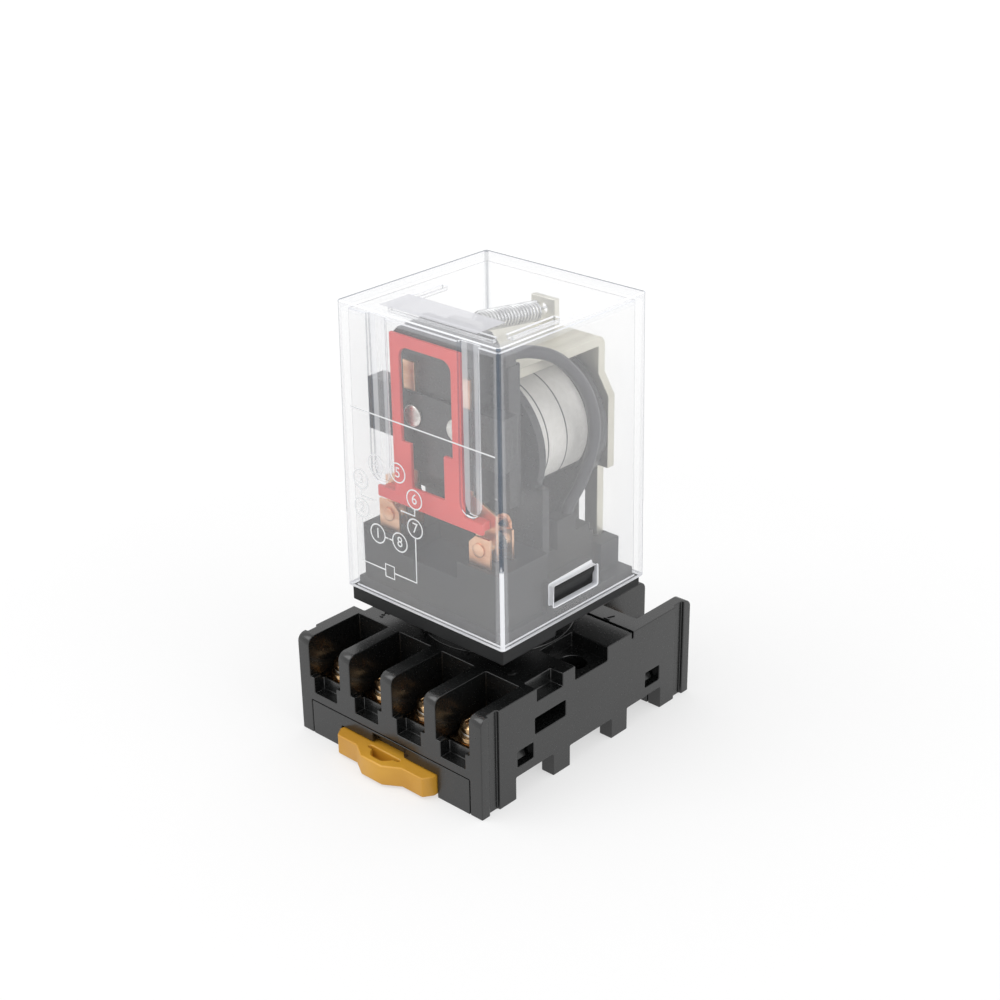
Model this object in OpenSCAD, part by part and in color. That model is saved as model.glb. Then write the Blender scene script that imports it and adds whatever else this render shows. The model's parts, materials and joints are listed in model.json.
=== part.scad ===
// Plug-in relay with a clear cover, seated in a screw-terminal socket for a 35 mm rail.
// Millimetres. The base plane of the socket is z = 0, the plug axis is x = y = 0,
// and the rail clip is on the -Y end.

/* [Socket] */
// Width of the socket across its terminal rows
socket_w = 41; // [40.6:0.2:46]
// Length of the socket from one terminal end to the other
socket_l = 51.8; // [51:0.2:60]
// Height of the deck, the barriers and the side walls
socket_h = 17.85; // [17:0.05:22]
// Distance between neighbouring terminals
terminal_pitch = 9.6; // [9.2:0.1:9.7]
// Thickness of the barriers between terminals
barrier_t = 2.5; // [1.8:0.1:3]
// Depth of a terminal compartment from the end face
compartment_l = 11.45; // [10.5:0.05:12]
// Thickness of the deck and of the wall behind the compartments
deck_t = 2; // [1.5:0.1:2.4]
// Radius of the rounded top edges at both ends
end_round = 1.4; // [0.6:0.1:2]
// Diameter of the round plug boss on the deck
boss_d = 25.4; // [24:0.1:26]
// Height of the plug boss above the deck
boss_h = 4.1; // [3:0.1:6]
// Height of the closing plate that fills the underside
base_plate_h = 6.4; // [6:0.1:7]

/* [Terminals] */
// Height of the terminal strips above the base plane
terminal_z = 9.1; // [8.9:0.1:9.3]
// Height of the sill in front of each compartment above the base plane
sill_z = 10.7; // [10.2:0.1:11]
// Thickness of the terminal strips
strip_t = 1; // [0.6:0.1:1.2]
// Thread diameter of the clamp screws
screw_d = 3.5; // [3:0.1:4]
// Head diameter of the clamp screws
screw_head_d = 5.4; // [5:0.1:6]
// Head height of the clamp screws
screw_head_h = 1.8; // [1.5:0.1:2.2]
// Distance of the clamp screws from the end face
screw_inset = 5.8; // [5.2:0.1:6.2]
// Diameter of the round clamp plates
clamp_plate_d = 6.3; // [5.8:0.1:6.6]
// Thickness of the round clamp plates
clamp_plate_t = 0.9; // [0.6:0.1:1.2]
// Thickness of the washers under the heads
washer_t = 0.5; // [0.4:0.1:0.8]

/* [Rail and panel] */
// Width of the rail that the socket clips onto
rail_w = 35; // [35:0.1:36]
// Play of the rail in its seat
rail_play = 1.1; // [0.6:0.1:1.4]
// Height of the feet, which is the depth of the rail seat
foot_h = 4; // [3.6:0.1:4.4]
// Diameter of the two panel screw holes
panel_hole_d = 4.5; // [4:0.1:4.8]
// Distance between the two panel screw holes
panel_hole_spacing = 33; // [32:0.1:33.4]
// Width of the rail clip
clip_w = 21.4; // [18:0.1:23]
// How far the clip's finger pull stands out of the end face
clip_reach = 3.9; // [3:0.1:6]
// Travel of the clip from locked to released
clip_travel = 3; // [2:0.1:3.2]

/* [Plug] */
// Diameter of the plug pins
pin_d = 2.36; // [2.2:0.02:2.5]
// Diameter of the circle on which the pins stand
pin_circle_d = 17.45; // [17:0.05:17.6]
// Length of the pins below the base
pin_l = 11.5; // [10:0.1:12]
// Diameter of the key post
key_d = 7.9; // [7:0.1:8.2]
// Length of the key post below the base
key_l = 13.5; // [12:0.1:14]

/* [Cover and base] */
// Width of the square cover at its open end
cover_w = 34.5; // [34.4:0.1:37]
// Height of the cover
cover_h = 48.92; // [48.8:0.02:56]
// Draft angle of the cover's walls in degrees
cover_draft = 0.5; // [0.2:0.05:0.6]
// Wall thickness of the cover
cover_wall = 1.2; // [0.8:0.05:1.3]
// Thickness of the cover's top
cover_top_t = 1.3; // [0.9:0.1:1.4]
// Radius of the cover's upright edges
cover_round = 0.7; // [0.3:0.1:1]
// Width of the latch windows in the cover
window_w = 10.4; // [8:0.1:11]
// Height of the latch windows in the cover
window_h = 3.55; // [2.8:0.05:4]
// Thickness of the base flange under the cover
flange_t = 2.7; // [2:0.1:4]
// Step of the flange's underside behind its seating pad
flange_step = 0.8; // [0.4:0.1:1.2]

/* [Coil] */
// Height of the coil axis above the cover's open end
coil_rise = 25.65; // [25.4:0.05:26]
// Outer diameter of the label sleeve round the winding
label_d = 19.8; // [18:0.1:21]
// Diameter of the bobbin's flanges
bobbin_d = 24.6; // [24:0.1:25]
// Length of the winding between the flanges
winding_l = 12.8; // [12:0.1:13.4]
// Diameter of the iron core
core_d = 8; // [7:0.1:9]
// Thickness of the yoke's sheet
yoke_t = 1.6; // [1.4:0.1:1.9]
// Outer diameter of the return spring
spring_d = 3.4; // [2.8:0.1:3.6]
// Wire diameter of the return spring
spring_wire_d = 0.45; // [0.35:0.05:0.5]
// Diameter of the black leads that loop past the coil
lead_d = 2; // [1.6:0.1:2.4]

/* [Switching] */
// Swing of the armature in degrees
swing = 4; // [3:0.1:4.2]
// Thickness of the armature
armature_t = 1.5; // [1.2:0.1:1.6]
// Thickness of the copper contact blades
blade_t = 0.5; // [0.3:0.05:0.6]
// Width of the red card's frame
card_w = 14.8; // [14.4:0.1:15.2]
// Width of the card's cross bar from tip to tip
card_bar_w = 22.6; // [22:0.1:24]
// Thickness of the card
card_t = 0.7; // [0.6:0.1:0.9]
// Width of the card's upright legs
card_leg_w = 2; // [1.8:0.05:2.4]
// Diameter of the silver contact tips
tip_d = 3; // [2.4:0.1:3.2]
// Height of the silver contact tips
tip_h = 0.5; // [0.4:0.05:0.6]

/* [Fits] */
// Gap between pieces that are put together by hand
fit_gap = 0.15; // [0.1:0.01:0.2]
// Radial gap of screws and pins in their holes
running_gap = 0.06; // [0.04:0.01:0.08]

/* [Hidden] */
$fn = 48;
eps = 0.5;
TERMINALS = [1:8];

// Colours as the object shows them
BLACK = "#2b2c2d";
AMBER = "#d9982b";
BRASS = "#c9a25a";
STEEL = "#c9cacb";
COPPER = "#c67b4e";
SILVER = "#dcdddd";
RED = "#d8362b";
CLEAR = [0.92, 0.95, 0.98, 0.3];

// Socket: terminal rows and walls
wall_in = 2 * terminal_pitch - barrier_t / 2;
half_w = socket_w / 2;
half_l = socket_l / 2;
compartment_w = terminal_pitch - barrier_t;
compartment_y = half_l - compartment_l;
back_wall_t = 1.25;
bay_y = compartment_y - back_wall_t;
bay_x = wall_in - 1.05;
deck_z = socket_h - deck_t;
terminal_y = half_l - screw_inset;
niche_w = 5.25;
niche_z = sill_z - 2.8;
niche_l = 1.6;
strip_end = 0.9;
strip_w = compartment_w - 0.5;
strap_w = 3;
neck_w = 4;
screw_tip_l = 1.7;
screw_tip_room = 0.4;
side_groove = [21.9, 24.1];
side_groove_t = 0.55;

// Socket: cuts in the side walls
hold_down = [7, 13.2];
hold_down_z = socket_h - 2.35;
hook_slot = [6.3, 13.6];
hook_slot_z = [9.8, 12.7];
snap_y = [14, 17.7];
snap_z = [5.7, 8.5];
snap_depth = 1.65;
marker_groove_y = 10.2;
marker_groove_w = 0.45;
marker_groove_l = 1.2;
rail_half = (rail_w + rail_play) / 2;
mid_foot = [5.2, 9.3];
mid_gap_h = foot_h - 0.3;
panel_x = panel_hole_spacing / 2;
panel_boss_x = panel_x - 4.5;
panel_boss_half = 4.4;
panel_recess_half = 4;
panel_recess_z = socket_h - 2.55;

// Rail clip
clip_z = [0.45, foot_h];
clip_wing_reach = 2.15;
clip_bulge_w = 4.6;
clip_root_w = 10.4;
clip_corner = [1.1, 1.65];
clip_lip_y = rail_w / 2 - 0.9;
clip_lip_z = 2.7;
clip_lip_half = 8;
clip_rib = [1.15, 2.2, 1.3];
clip_rib_z = 1.5;
clip_play = 0.2;
pocket_w = 6.9;
pocket_slit = 0.6;
pocket_wall = 0.6;
pocket_root = 4.6;
pocket_tip = 2.4;
pocket_l = 2.05;
pocket_floor_z = 1.9;
lip_notch_half = 3.5;
lip_notch_z = 5.85;

// Plug: pins stand every 45 degrees round the key post
pin_r = pin_d / 2;
sleeve_r = pin_r + 0.52;
sleeve_drop = 0.8;
sleeve_room = 0.25;
pin_hole_r = pin_r + 0.27;
boss_roof_t = 2.15;
seat_z = socket_h + boss_h;
pin_root_l = 0.5;
key_ridge = [1.4, 0.8];

// Relay: levels and inner width of the cover
cover_z = seat_z + flange_t;
cover_top_z = cover_z + cover_h;
cover_taper = tan(cover_draft);
inner_top_z = cover_top_z - cover_top_t;
inner_half = cover_w / 2 - cover_wall - cover_taper * cover_h;
base_half = cover_w / 2 - cover_wall - cover_taper * 8 - fit_gap;
flange_half = cover_w / 2 - 0.6;
tray_z = cover_z + 1.65;
contact_block_z = cover_z + 11.3;
coil_block_z = cover_z + 8.85;
yoke_block_z = cover_z + 6.55;
contact_block_half = base_half - 0.95;
coil_block_half = 11.5;
yoke_block_half = base_half - 2.6;
pad_y = -4.3;
window_z = cover_z + 3;
latch_reach = 1;
latch_wall_t = 1.9;

// Coil and yoke, stacked from the back wall to the armature
coil_z = cover_z + coil_rise;
bobbin_r = bobbin_d / 2;
label_r = label_d / 2;
label_t = 0.35;
label_low_z = coil_z - 0.57 * label_r;
tape_r = label_r - label_t;
tape_t = 0.3;
winding_r = tape_r - tape_t - 0.05;
bobbin_tube_r = core_d / 2 + 1.1;
yoke_back_y = inner_half - 0.6;
yoke_front_y = yoke_back_y - yoke_t;
rear_flange_t = 2;
front_flange_t = 1.6;
bobbin_back_y = yoke_front_y - 0.1;
winding_back_y = bobbin_back_y - rear_flange_t;
winding_front_y = winding_back_y - winding_l;
bobbin_front_y = winding_front_y - front_flange_t;
rear_foot_half = 6.5;
front_foot_half = base_half - 2.95;
front_foot_z = coil_z - 4.8;
contact_block_back = bobbin_front_y - 1;
yoke_block_front = winding_back_y - 0.4;
pole_r = core_d / 2 + 1;
pole_t = 0.65;
pole_y = bobbin_front_y - pole_t - 0.05;
core_rivet_r = core_d / 2 - 1.2;
coil_rear_y = winding_back_y - 2.2;
yoke_half = 10.2;
yoke_wing_half = 12.3;
yoke_top_z = coil_z + bobbin_r + 1.3;
yoke_wing_z = [coil_z - 6.7, coil_z + 5.7];
yoke_shoulder = 3.4;
yoke_crotch_z = coil_z - 11.8;
yoke_leg_w = 2.7;
yoke_leg_z = yoke_block_z - 2.7;

// Armature: its pivot is the front edge of the yoke
pivot_z = yoke_top_z + yoke_t / 2;
pole_gap = (pivot_z - coil_z + pole_r) * sin(swing) + 0.1;
armature_back_y = pole_y - pole_gap;
armature_front_y = armature_back_y - armature_t;
armature_half = 9.4;
armature_top_z = yoke_top_z + yoke_t + 0.9;
armature_low_z = coil_z - 7;
tail_half = 3;
tail_z = inner_top_z - 1.05;
yoke_edge_y = armature_back_y + 0.2;
hook_hole_r = 0.9;
front_hook_z = inner_top_z - 2.1;
rear_hook_z = yoke_top_z + yoke_t + 2.9;
ear_half = 2.5;
ear_t = 1.2;
ear_y = winding_back_y + 0.4;

// Card, blades and carrier, stacked from the cover's front wall back to the armature
card_room = 0.55;
card_y = -inner_half + card_room;
card_back_y = card_y + card_t;
blade_y = card_back_y + 1.7;
carrier_y = blade_y + blade_t;
carrier_half = 7.9;
carrier_low_z = coil_z - 5.8;
carrier_web_t = 1.2;
carrier_web_half = armature_half + 1.1;
carrier_web_z = [armature_low_z, armature_top_z + 0.3];
carrier_arm_half = inner_half - 1.4;
carrier_arm_y = [blade_y - 0.85, blade_y + 2.7];
carrier_arm_z = [coil_z + 1.7, coil_z + 10.5];
blade_cover_t = 0.35;
blade_cover_z = [coil_z - 3, coil_z + 10.1];
carrier_head_z = coil_z + 17;
carrier_top_z = inner_top_z - 1.25;
card_top_z = inner_top_z - 2.15;
card_window_z = card_top_z - 1.9;
card_bar_z = [coil_z - 8.1, coil_z - 5];
card_tip_z = [coil_z - 8.6, coil_z - 6.7];
card_corner_r = 1.8;
card_foot_z = coil_z + 2.4;
card_foot_w = card_leg_w + 1.9;
tip_r = tip_d / 2;
tip_x = 9.8;
tip_z = cover_z + 13.95;
blade_low_z = contact_block_z + 0.75;
blade_top_z = coil_z + 14.8;
blade_x = [4.65, 7.05];
blade_end_x = [7.6, 12];
blade_bend_z = [coil_z - 6, coil_z - 3.8];
rivet_x = 4.55;
rivet_z = coil_z + 6.3;
rivet_r = 1.8;
rivet_t = 0.6;
lug_r = 2.1;
contact_travel = (pivot_z - tip_z + tip_r) * sin(swing) + 0.1;
nc_tip_y = blade_y - tip_h - 0.05;
nc_y = nc_tip_y - tip_h - blade_t;
no_tip_y = carrier_y + tip_h + contact_travel;
no_y = no_tip_y + tip_h;
fixed_top_z = card_tip_z[0] - 0.9;
fixed_root_l = 3.5;
fixed_corner = 1.4;

// Flexible leads: y and z of each route, in the plane of the piece they leave
braid_r = 0.7;
braid_route = [
    [carrier_y + braid_r + 0.1, blade_bend_z[0] - 3],
    [carrier_y + 1.4, blade_bend_z[0] - 2.1],
    [carrier_y + 2.6, blade_bend_z[0] - 1.8],
    [no_y + blade_t + 0.9, blade_bend_z[0] - 2.6],
    [no_y + blade_t + 1.2, blade_bend_z[0] - 4.6],
    [no_y + blade_t + 1.1, contact_block_z + 1.6],
    [no_y + blade_t + 1.1, contact_block_z + 0.05],
];
coil_lead_r = 0.35;
coil_lead_x = 5;
coil_lead_y = winding_front_y + 1;
coil_lead_route = [
    [coil_lead_y, coil_z - sqrt(tape_r * tape_r - coil_lead_x * coil_lead_x) - 0.7],
    [coil_lead_y + 0.3, coil_block_z + 5.5],
    [coil_lead_y + 0.1, coil_block_z + 2.8],
    [coil_lead_y, coil_block_z + 0.05],
];

// Black leads: x, y and z from the carrier's lug over the yoke and past the coil to a post on the base
lug_y = [armature_front_y - 1.8, armature_front_y + 0.5];
lug_x = armature_half + 0.2;
lug_z = carrier_web_z[1] + 1.4;
post_x = [9.4, 12.2];
post_y = [1.2, 5.8, 9.2];
post_z = [cover_z + 13.95, cover_z + 10.9];
lead_out_x = inner_half - 2.3;
lead_route = [
    [lug_x, lug_y[1] + 0.05, lug_z],
    [lug_x, lug_y[1] + 0.6, lug_z],
    [lug_x + 0.8, lug_y[1] + 1.7, lug_z + 0.1],
    [lug_x + 1.8, lug_y[1] + 3.1, lug_z - 0.1],
    [lug_x + 2.6, lug_y[1] + 4.6, lug_z - 0.6],
    [lead_out_x - 0.6, lug_y[1] + 6.3, lug_z - 1.5],
    [lead_out_x - 0.3, lug_y[1] + 8.1, lug_z - 2.9],
    [lead_out_x, coil_rear_y - 5, coil_z + 12.5],
    [lead_out_x, coil_rear_y - 2.9, coil_z + 10],
    [lead_out_x, coil_rear_y - 1.3, coil_z + 7],
    [lead_out_x, coil_rear_y - 0.2, coil_z + 3.2],
    [lead_out_x - 0.3, coil_rear_y, coil_z - 0.2],
    [lead_out_x - 0.6, coil_rear_y - 0.8, coil_z - 3.4],
    [lead_out_x - 1.1, coil_rear_y - 2.1, coil_z - 7],
    [post_x[1] - 0.8, post_y[1] - 0.5, post_z[0] + 1.8],
    [post_x[1] - 1.1, post_y[1] - 0.9, post_z[0] + 0.7],
    [post_x[1] - 1.1, post_y[1] - 0.9, post_z[0] + 0.05],
];

// Terminals 1 to 4 stand in front from left to right, 5 to 8 behind them
function terminal_end(n) = n <= 4 ? -1 : 1;
function terminal_x(n) = ((n - 1) % 4 - 1.5) * terminal_pitch;
function pin_angle(n) = terminal_end(n) * (157.5 - 45 * ((n - 1) % 4));
function pin_place(n) = pin_circle_d / 2 * [cos(pin_angle(n)), sin(pin_angle(n))];
function unit(v) = v / norm(v);

// Box between two opposite corners
module block(low, high) {
    translate(low) cube(high - low);
}

module both_sides() {
    children();
    mirror([1, 0, 0]) children();
}

module both_ends() {
    children();
    mirror([0, 1, 0]) children();
}

module at_terminal(n) {
    translate([terminal_x(n), 0, 0]) scale_end(terminal_end(n)) children();
}

// Turns what is drawn for the +Y end to the other end
module scale_end(end) {
    mirror([0, end < 0 ? 1 : 0, 0]) children();
}

// Solid that extrudes a drawing of y and z along x
module along_x(half) {
    rotate([90, 0, 90]) linear_extrude(2 * half, center = true) children();
}

// Solid that extrudes a drawing of x and z from one y to another
module along_y(from, to) {
    translate([0, to, 0]) rotate([90, 0, 0]) linear_extrude(to - from) children();
}

// Square with round corners, centred
module rounded_square(w, r) {
    square([w - 2 * r, w], center = true);
    square([w, w - 2 * r], center = true);
    for (x = [-1, 1], y = [-1, 1])
        translate([x, y] * (w / 2 - r)) circle(r, $fn = 24);
}

// Round wire or tube along points; flat is a direction that the route never follows
module wire(points, r, flat, sides = 8) {
    last = len(points) - 1;
    rings = [
        for (i = [0:last])
            let (
                t = unit(points[min(i + 1, last)] - points[max(i - 1, 0)]),
                u = unit(cross(t, flat)),
                v = cross(t, u)
            )
            for (k = [0:sides - 1])
                points[i] + r * (u * cos(360 * k / sides) + v * sin(360 * k / sides))
    ];
    skin = [
        for (i = [0:last - 1], k = [0:sides - 1])
            let (next = (k + 1) % sides)
            [i * sides + k, (i + 1) * sides + k, (i + 1) * sides + next, i * sides + next]
    ];
    caps = [[for (k = [0:sides - 1]) k], [for (k = [sides - 1:-1:0]) last * sides + k]];
    polyhedron(rings, concat(skin, caps));
}

// Black socket moulding: a block with compartments at both ends and a hollow underside
module socket_body() {
    color(BLACK) difference() {
        union() {
            difference() {
                along_x(half_w) socket_profile();
                block([-wall_in, -half_l - eps, -eps], [wall_in, half_l + eps, base_plate_h]);
                block([-bay_x, -bay_y, -eps], [bay_x, bay_y, deck_z]);
                both_sides() side_wall_gaps();
            }
            both_sides() block(
                [panel_boss_x, -panel_boss_half, mid_gap_h],
                [half_w, panel_boss_half, deck_z]
            );
            translate([0, 0, deck_z]) cylinder(d = boss_d, h = seat_z - deck_z);
        }
        for (n = TERMINALS) at_terminal(n) compartment();
        for (n = TERMINALS) translate(pin_place(n)) pin_hole();
        key_hole();
        both_sides() side_wall_cuts();
        both_sides() both_ends() side_grooves();
    }
}

// Side view of the socket, rounded at its upper ends
module socket_profile() {
    translate([-half_l, 0]) square([socket_l, socket_h - end_round]);
    translate([-half_l + end_round, 0]) square([socket_l - 2 * end_round, socket_h]);
    for (y = [-1, 1])
        translate([y * (half_l - end_round), socket_h - end_round]) circle(end_round);
}

// One terminal compartment of the +Y end, with its wire niche, strap slot and screw tip room
module compartment() {
    half = compartment_w / 2;
    end_y = half_l - niche_l;
    block([-half, compartment_y, terminal_z], [half, end_y - strip_end, socket_h + eps]);
    block([-half, compartment_y, terminal_z + strip_t - 0.1], [half, end_y, socket_h + eps]);
    block([-half, compartment_y, sill_z], [half, half_l + eps, socket_h + eps]);
    block([-niche_w / 2, end_y - eps, niche_z], [niche_w / 2, half_l + eps, sill_z + eps]);
    block(
        [-neck_w / 2 - fit_gap, bay_y - eps, terminal_z],
        [neck_w / 2 + fit_gap, compartment_y + eps, terminal_z + strip_t + fit_gap]
    );
    translate([0, terminal_y, terminal_z - screw_tip_l - screw_tip_room])
        cylinder(r = screw_d / 2 + screw_tip_room, h = screw_tip_l + screw_tip_room + eps);
}

// Hole for one pin in the boss, wider below for the contact's sleeve
module pin_hole() {
    translate([0, 0, deck_z - eps]) cylinder(r = pin_hole_r, h = seat_z - deck_z + 2 * eps);
    translate([0, 0, deck_z - eps])
        cylinder(r = sleeve_r + sleeve_room, h = seat_z - boss_roof_t - deck_z + eps);
}

module key_hole() {
    translate([0, 0, deck_z - eps])
        cylinder(d = key_d + 4 * fit_gap, h = seat_z - deck_z + 2 * eps);
    block(
        [-key_ridge[0] / 2 - 2 * fit_gap, -key_d / 2 - key_ridge[1] - 2 * fit_gap, deck_z - eps],
        [key_ridge[0] / 2 + 2 * fit_gap, 0, seat_z + eps]
    );
}

// Gaps between the feet on one side: two for the rail's edges, one in the middle
module side_wall_gaps() {
    both_ends() block([wall_in - eps, mid_foot[1], -eps], [half_w + eps, rail_half, foot_h]);
    block([wall_in - eps, -mid_foot[0], -eps], [half_w + eps, mid_foot[0], mid_gap_h]);
}

// Notches, slots and windows on one side wall
module side_wall_cuts() {
    outside = half_w + eps;
    block([wall_in, -hold_down[1], hold_down_z], [outside, -hold_down[0], socket_h + eps]);
    block([bay_x - eps, -hook_slot[1], hook_slot_z[0]], [outside, -hook_slot[0], hook_slot_z[1]]);
    both_ends() block(
        [wall_in - snap_depth, snap_y[0], snap_z[0]],
        [outside, snap_y[1], snap_z[1]]
    );
    block(
        [panel_boss_x + 0.9, -panel_recess_half, panel_recess_z],
        [outside, panel_recess_half, socket_h + eps]
    );
    translate([panel_x, 0, -eps]) cylinder(d = panel_hole_d, h = socket_h);
    block(
        [pin_circle_d / 2 + 1.6, marker_groove_y, socket_h - marker_groove_l],
        [outside, marker_groove_y + marker_groove_w, socket_h + eps]
    );
}

module side_grooves() {
    block([half_w - side_groove_t, side_groove[0], -eps], [half_w + eps, side_groove[1], socket_h + eps]);
}

// Closing plate of the underside: front and back lips, rail seat, fixed rail hook and snaps
module base_plate() {
    half = wall_in - fit_gap;
    top = base_plate_h - fit_gap;
    channel = clip_w / 2 + clip_play;
    color(BLACK) {
        difference() {
            block([-half, -half_l, 0], [half, half_l, top]);
            block([-half - eps, -rail_half, -eps], [half + eps, rail_half, foot_h]);
            both_sides() block(
                [panel_boss_x - fit_gap, -panel_boss_half - fit_gap, -eps],
                [half + eps, panel_boss_half + fit_gap, top + eps]
            );
            block([-channel, -half_l - eps, -eps], [channel, -rail_half + eps, foot_h + clip_play]);
            both_sides() block(
                [channel - eps, -rail_half - clip_travel - clip_rib[1] - 4 * clip_play, clip_rib_z - clip_play],
                [channel + clip_rib[0] + clip_play, -rail_half + eps, clip_rib_z + clip_rib[2] + clip_play]
            );
            block([-lip_notch_half, -half_l - eps, foot_h - eps], [lip_notch_half, -half_l + 1, lip_notch_z]);
        }
        along_x(clip_lip_half) translate([rail_half, 0]) rail_hook_profile();
        both_sides() both_ends() snap();
    }
}

// Fixed hook for the far edge of the rail
module rail_hook_profile() {
    reach = rail_half - clip_lip_y;
    polygon([[0.2, clip_z[0]], [-reach, clip_z[0]], [-reach, 1.4], [-reach + 1, clip_lip_z], [0.2, clip_lip_z]]);
}

// Barbed tab that holds the plate in a window of the side wall
module snap() {
    root = wall_in - fit_gap;
    low = snap_z[0] + fit_gap;
    translate([0, snap_y[1] - 2 * fit_gap, 0]) rotate([90, 0, 0])
        linear_extrude(snap_y[1] - snap_y[0] - 4 * fit_gap) polygon([
            [root - snap_depth + 2 * fit_gap, base_plate_h - 1],
            [root, base_plate_h - 1],
            [root, low],
            [half_w - 1.3, low],
            [root, snap_z[1] - 2 * fit_gap],
            [root - snap_depth + 2 * fit_gap, snap_z[1] - 2 * fit_gap],
        ]);
}

// Amber rail clip: a flat slide with a finger pull in front and a hook behind
module din_clip() {
    back = -rail_half - 0.25;
    color(AMBER) {
        difference() {
            translate([0, 0, clip_z[0]]) linear_extrude(clip_z[1] - clip_z[0]) clip_plan(back);
            clip_pocket();
        }
        along_x(clip_lip_half) translate([back, 0]) clip_hook_profile(clip_lip_y + back);
        both_sides() translate([clip_w / 2 - 0.1, -rail_half - 0.4 - clip_rib[1], clip_rib_z])
            cube([clip_rib[0] + 0.1, clip_rib[1], clip_rib[2]]);
    }
}

// Pocket for the tip of a screwdriver: a slit that widens towards the front
module clip_pocket() {
    rear = -half_l - pocket_wall;
    block([-pocket_w / 2, rear - pocket_slit, pocket_floor_z], [pocket_w / 2, rear, foot_h + eps]);
    translate([0, 0, pocket_floor_z]) linear_extrude(foot_h - pocket_floor_z + eps) polygon([
        [-pocket_root / 2, rear - 0.1],
        [-pocket_root / 2, rear - 0.9],
        [-pocket_tip / 2, rear - pocket_l],
        [pocket_tip / 2, rear - pocket_l],
        [pocket_root / 2, rear - 0.9],
        [pocket_root / 2, rear - 0.1],
    ]);
}

// Plan of the clip, from the hook's root to the bulge of the finger pull
module clip_plan(back) {
    wing = -half_l - clip_wing_reach;
    tip = -half_l - clip_reach;
    side = clip_w / 2;
    polygon([
        [side, back],
        [side, wing + clip_corner[1]],
        [side - clip_corner[0], wing],
        [clip_root_w / 2, wing],
        [clip_bulge_w / 2, tip],
        [-clip_bulge_w / 2, tip],
        [-clip_root_w / 2, wing],
        [-side + clip_corner[0], wing],
        [-side, wing + clip_corner[1]],
        [-side, back],
    ]);
}

module clip_hook_profile(reach) {
    polygon([[-0.2, clip_z[0]], [-reach, clip_z[0]], [-reach, 1.4], [-reach - 1, clip_lip_z], [-0.2, clip_lip_z]]);
}

// Brass strip from one terminal plate to the sleeve of one pin
module terminal_contact(n) {
    top = seat_z - boss_roof_t - sleeve_room;
    turn = [terminal_x(n), terminal_end(n) * (bay_y - 0.2)];
    place = pin_place(n);
    span = place - turn;
    color(BRASS) difference() {
        union() {
            at_terminal(n) {
                block([-strip_w / 2, compartment_y + 0.2, terminal_z],
                    [strip_w / 2, half_l - niche_l - strip_end - 0.1, terminal_z + strip_t]);
                block([-neck_w / 2, bay_y - 0.2 - neck_w / 2, terminal_z],
                    [neck_w / 2, compartment_y + 0.4, terminal_z + strip_t]);
            }
            translate([turn[0], turn[1], terminal_z]) rotate(atan2(span[1], span[0]))
                translate([0, -strap_w / 2, 0]) cube([norm(span), strap_w, strip_t]);
            translate([place[0], place[1], terminal_z - sleeve_drop])
                cylinder(r = sleeve_r, h = top - terminal_z + sleeve_drop);
        }
        translate([place[0], place[1], 0]) cylinder(r = pin_r + running_gap, h = seat_z);
        at_terminal(n) translate([0, terminal_y, 0])
            cylinder(r = screw_d / 2 + running_gap, h = socket_h);
    }
}

// Round clamp plates under the eight screws
module clamp_plates() {
    color(BRASS) for (n = TERMINALS) at_terminal(n)
        translate([0, terminal_y, terminal_z + strip_t]) difference() {
            cylinder(d = clamp_plate_d, h = clamp_plate_t);
            translate([0, 0, -eps]) cylinder(d = screw_d + 2 * fit_gap, h = clamp_plate_t + 2 * eps);
        }
}

// Washers between the clamp plates and the heads
module spring_washers() {
    color(STEEL) for (n = TERMINALS) at_terminal(n)
        translate([0, terminal_y, terminal_z + strip_t + clamp_plate_t]) difference() {
            cylinder(d = screw_head_d - 0.2, h = washer_t);
            translate([0, 0, -eps]) cylinder(d = screw_d + 2 * fit_gap, h = washer_t + 2 * eps);
        }
}

// Pan-head clamp screw with a crossed slot; its thread is left plain
module terminal_screw(n) {
    head_z = terminal_z + strip_t + clamp_plate_t + washer_t + 0.03;
    low_z = terminal_z - screw_tip_l;
    color(BRASS) at_terminal(n) translate([0, terminal_y, 0]) difference() {
        union() {
            translate([0, 0, low_z]) cylinder(d = screw_d, h = head_z - low_z + 0.1);
            translate([0, 0, head_z]) rotate_extrude() pan_head_profile();
        }
        for (a = [0, 90]) rotate(a + 30)
            translate([-screw_head_d * 0.36, -0.5, head_z + screw_head_h * 0.5])
                cube([screw_head_d * 0.72, 1, screw_head_h]);
    }
}

// Half section of a pan head: upright rim and a domed top
module pan_head_profile() {
    r = screw_head_d / 2;
    rim = screw_head_h * 0.55;
    dome = (r * r + pow(screw_head_h - rim, 2)) / (2 * (screw_head_h - rim));
    square([r, rim]);
    intersection() {
        translate([0, screw_head_h - dome]) circle(dome, $fn = 96);
        square([r, screw_head_h]);
    }
}

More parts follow.
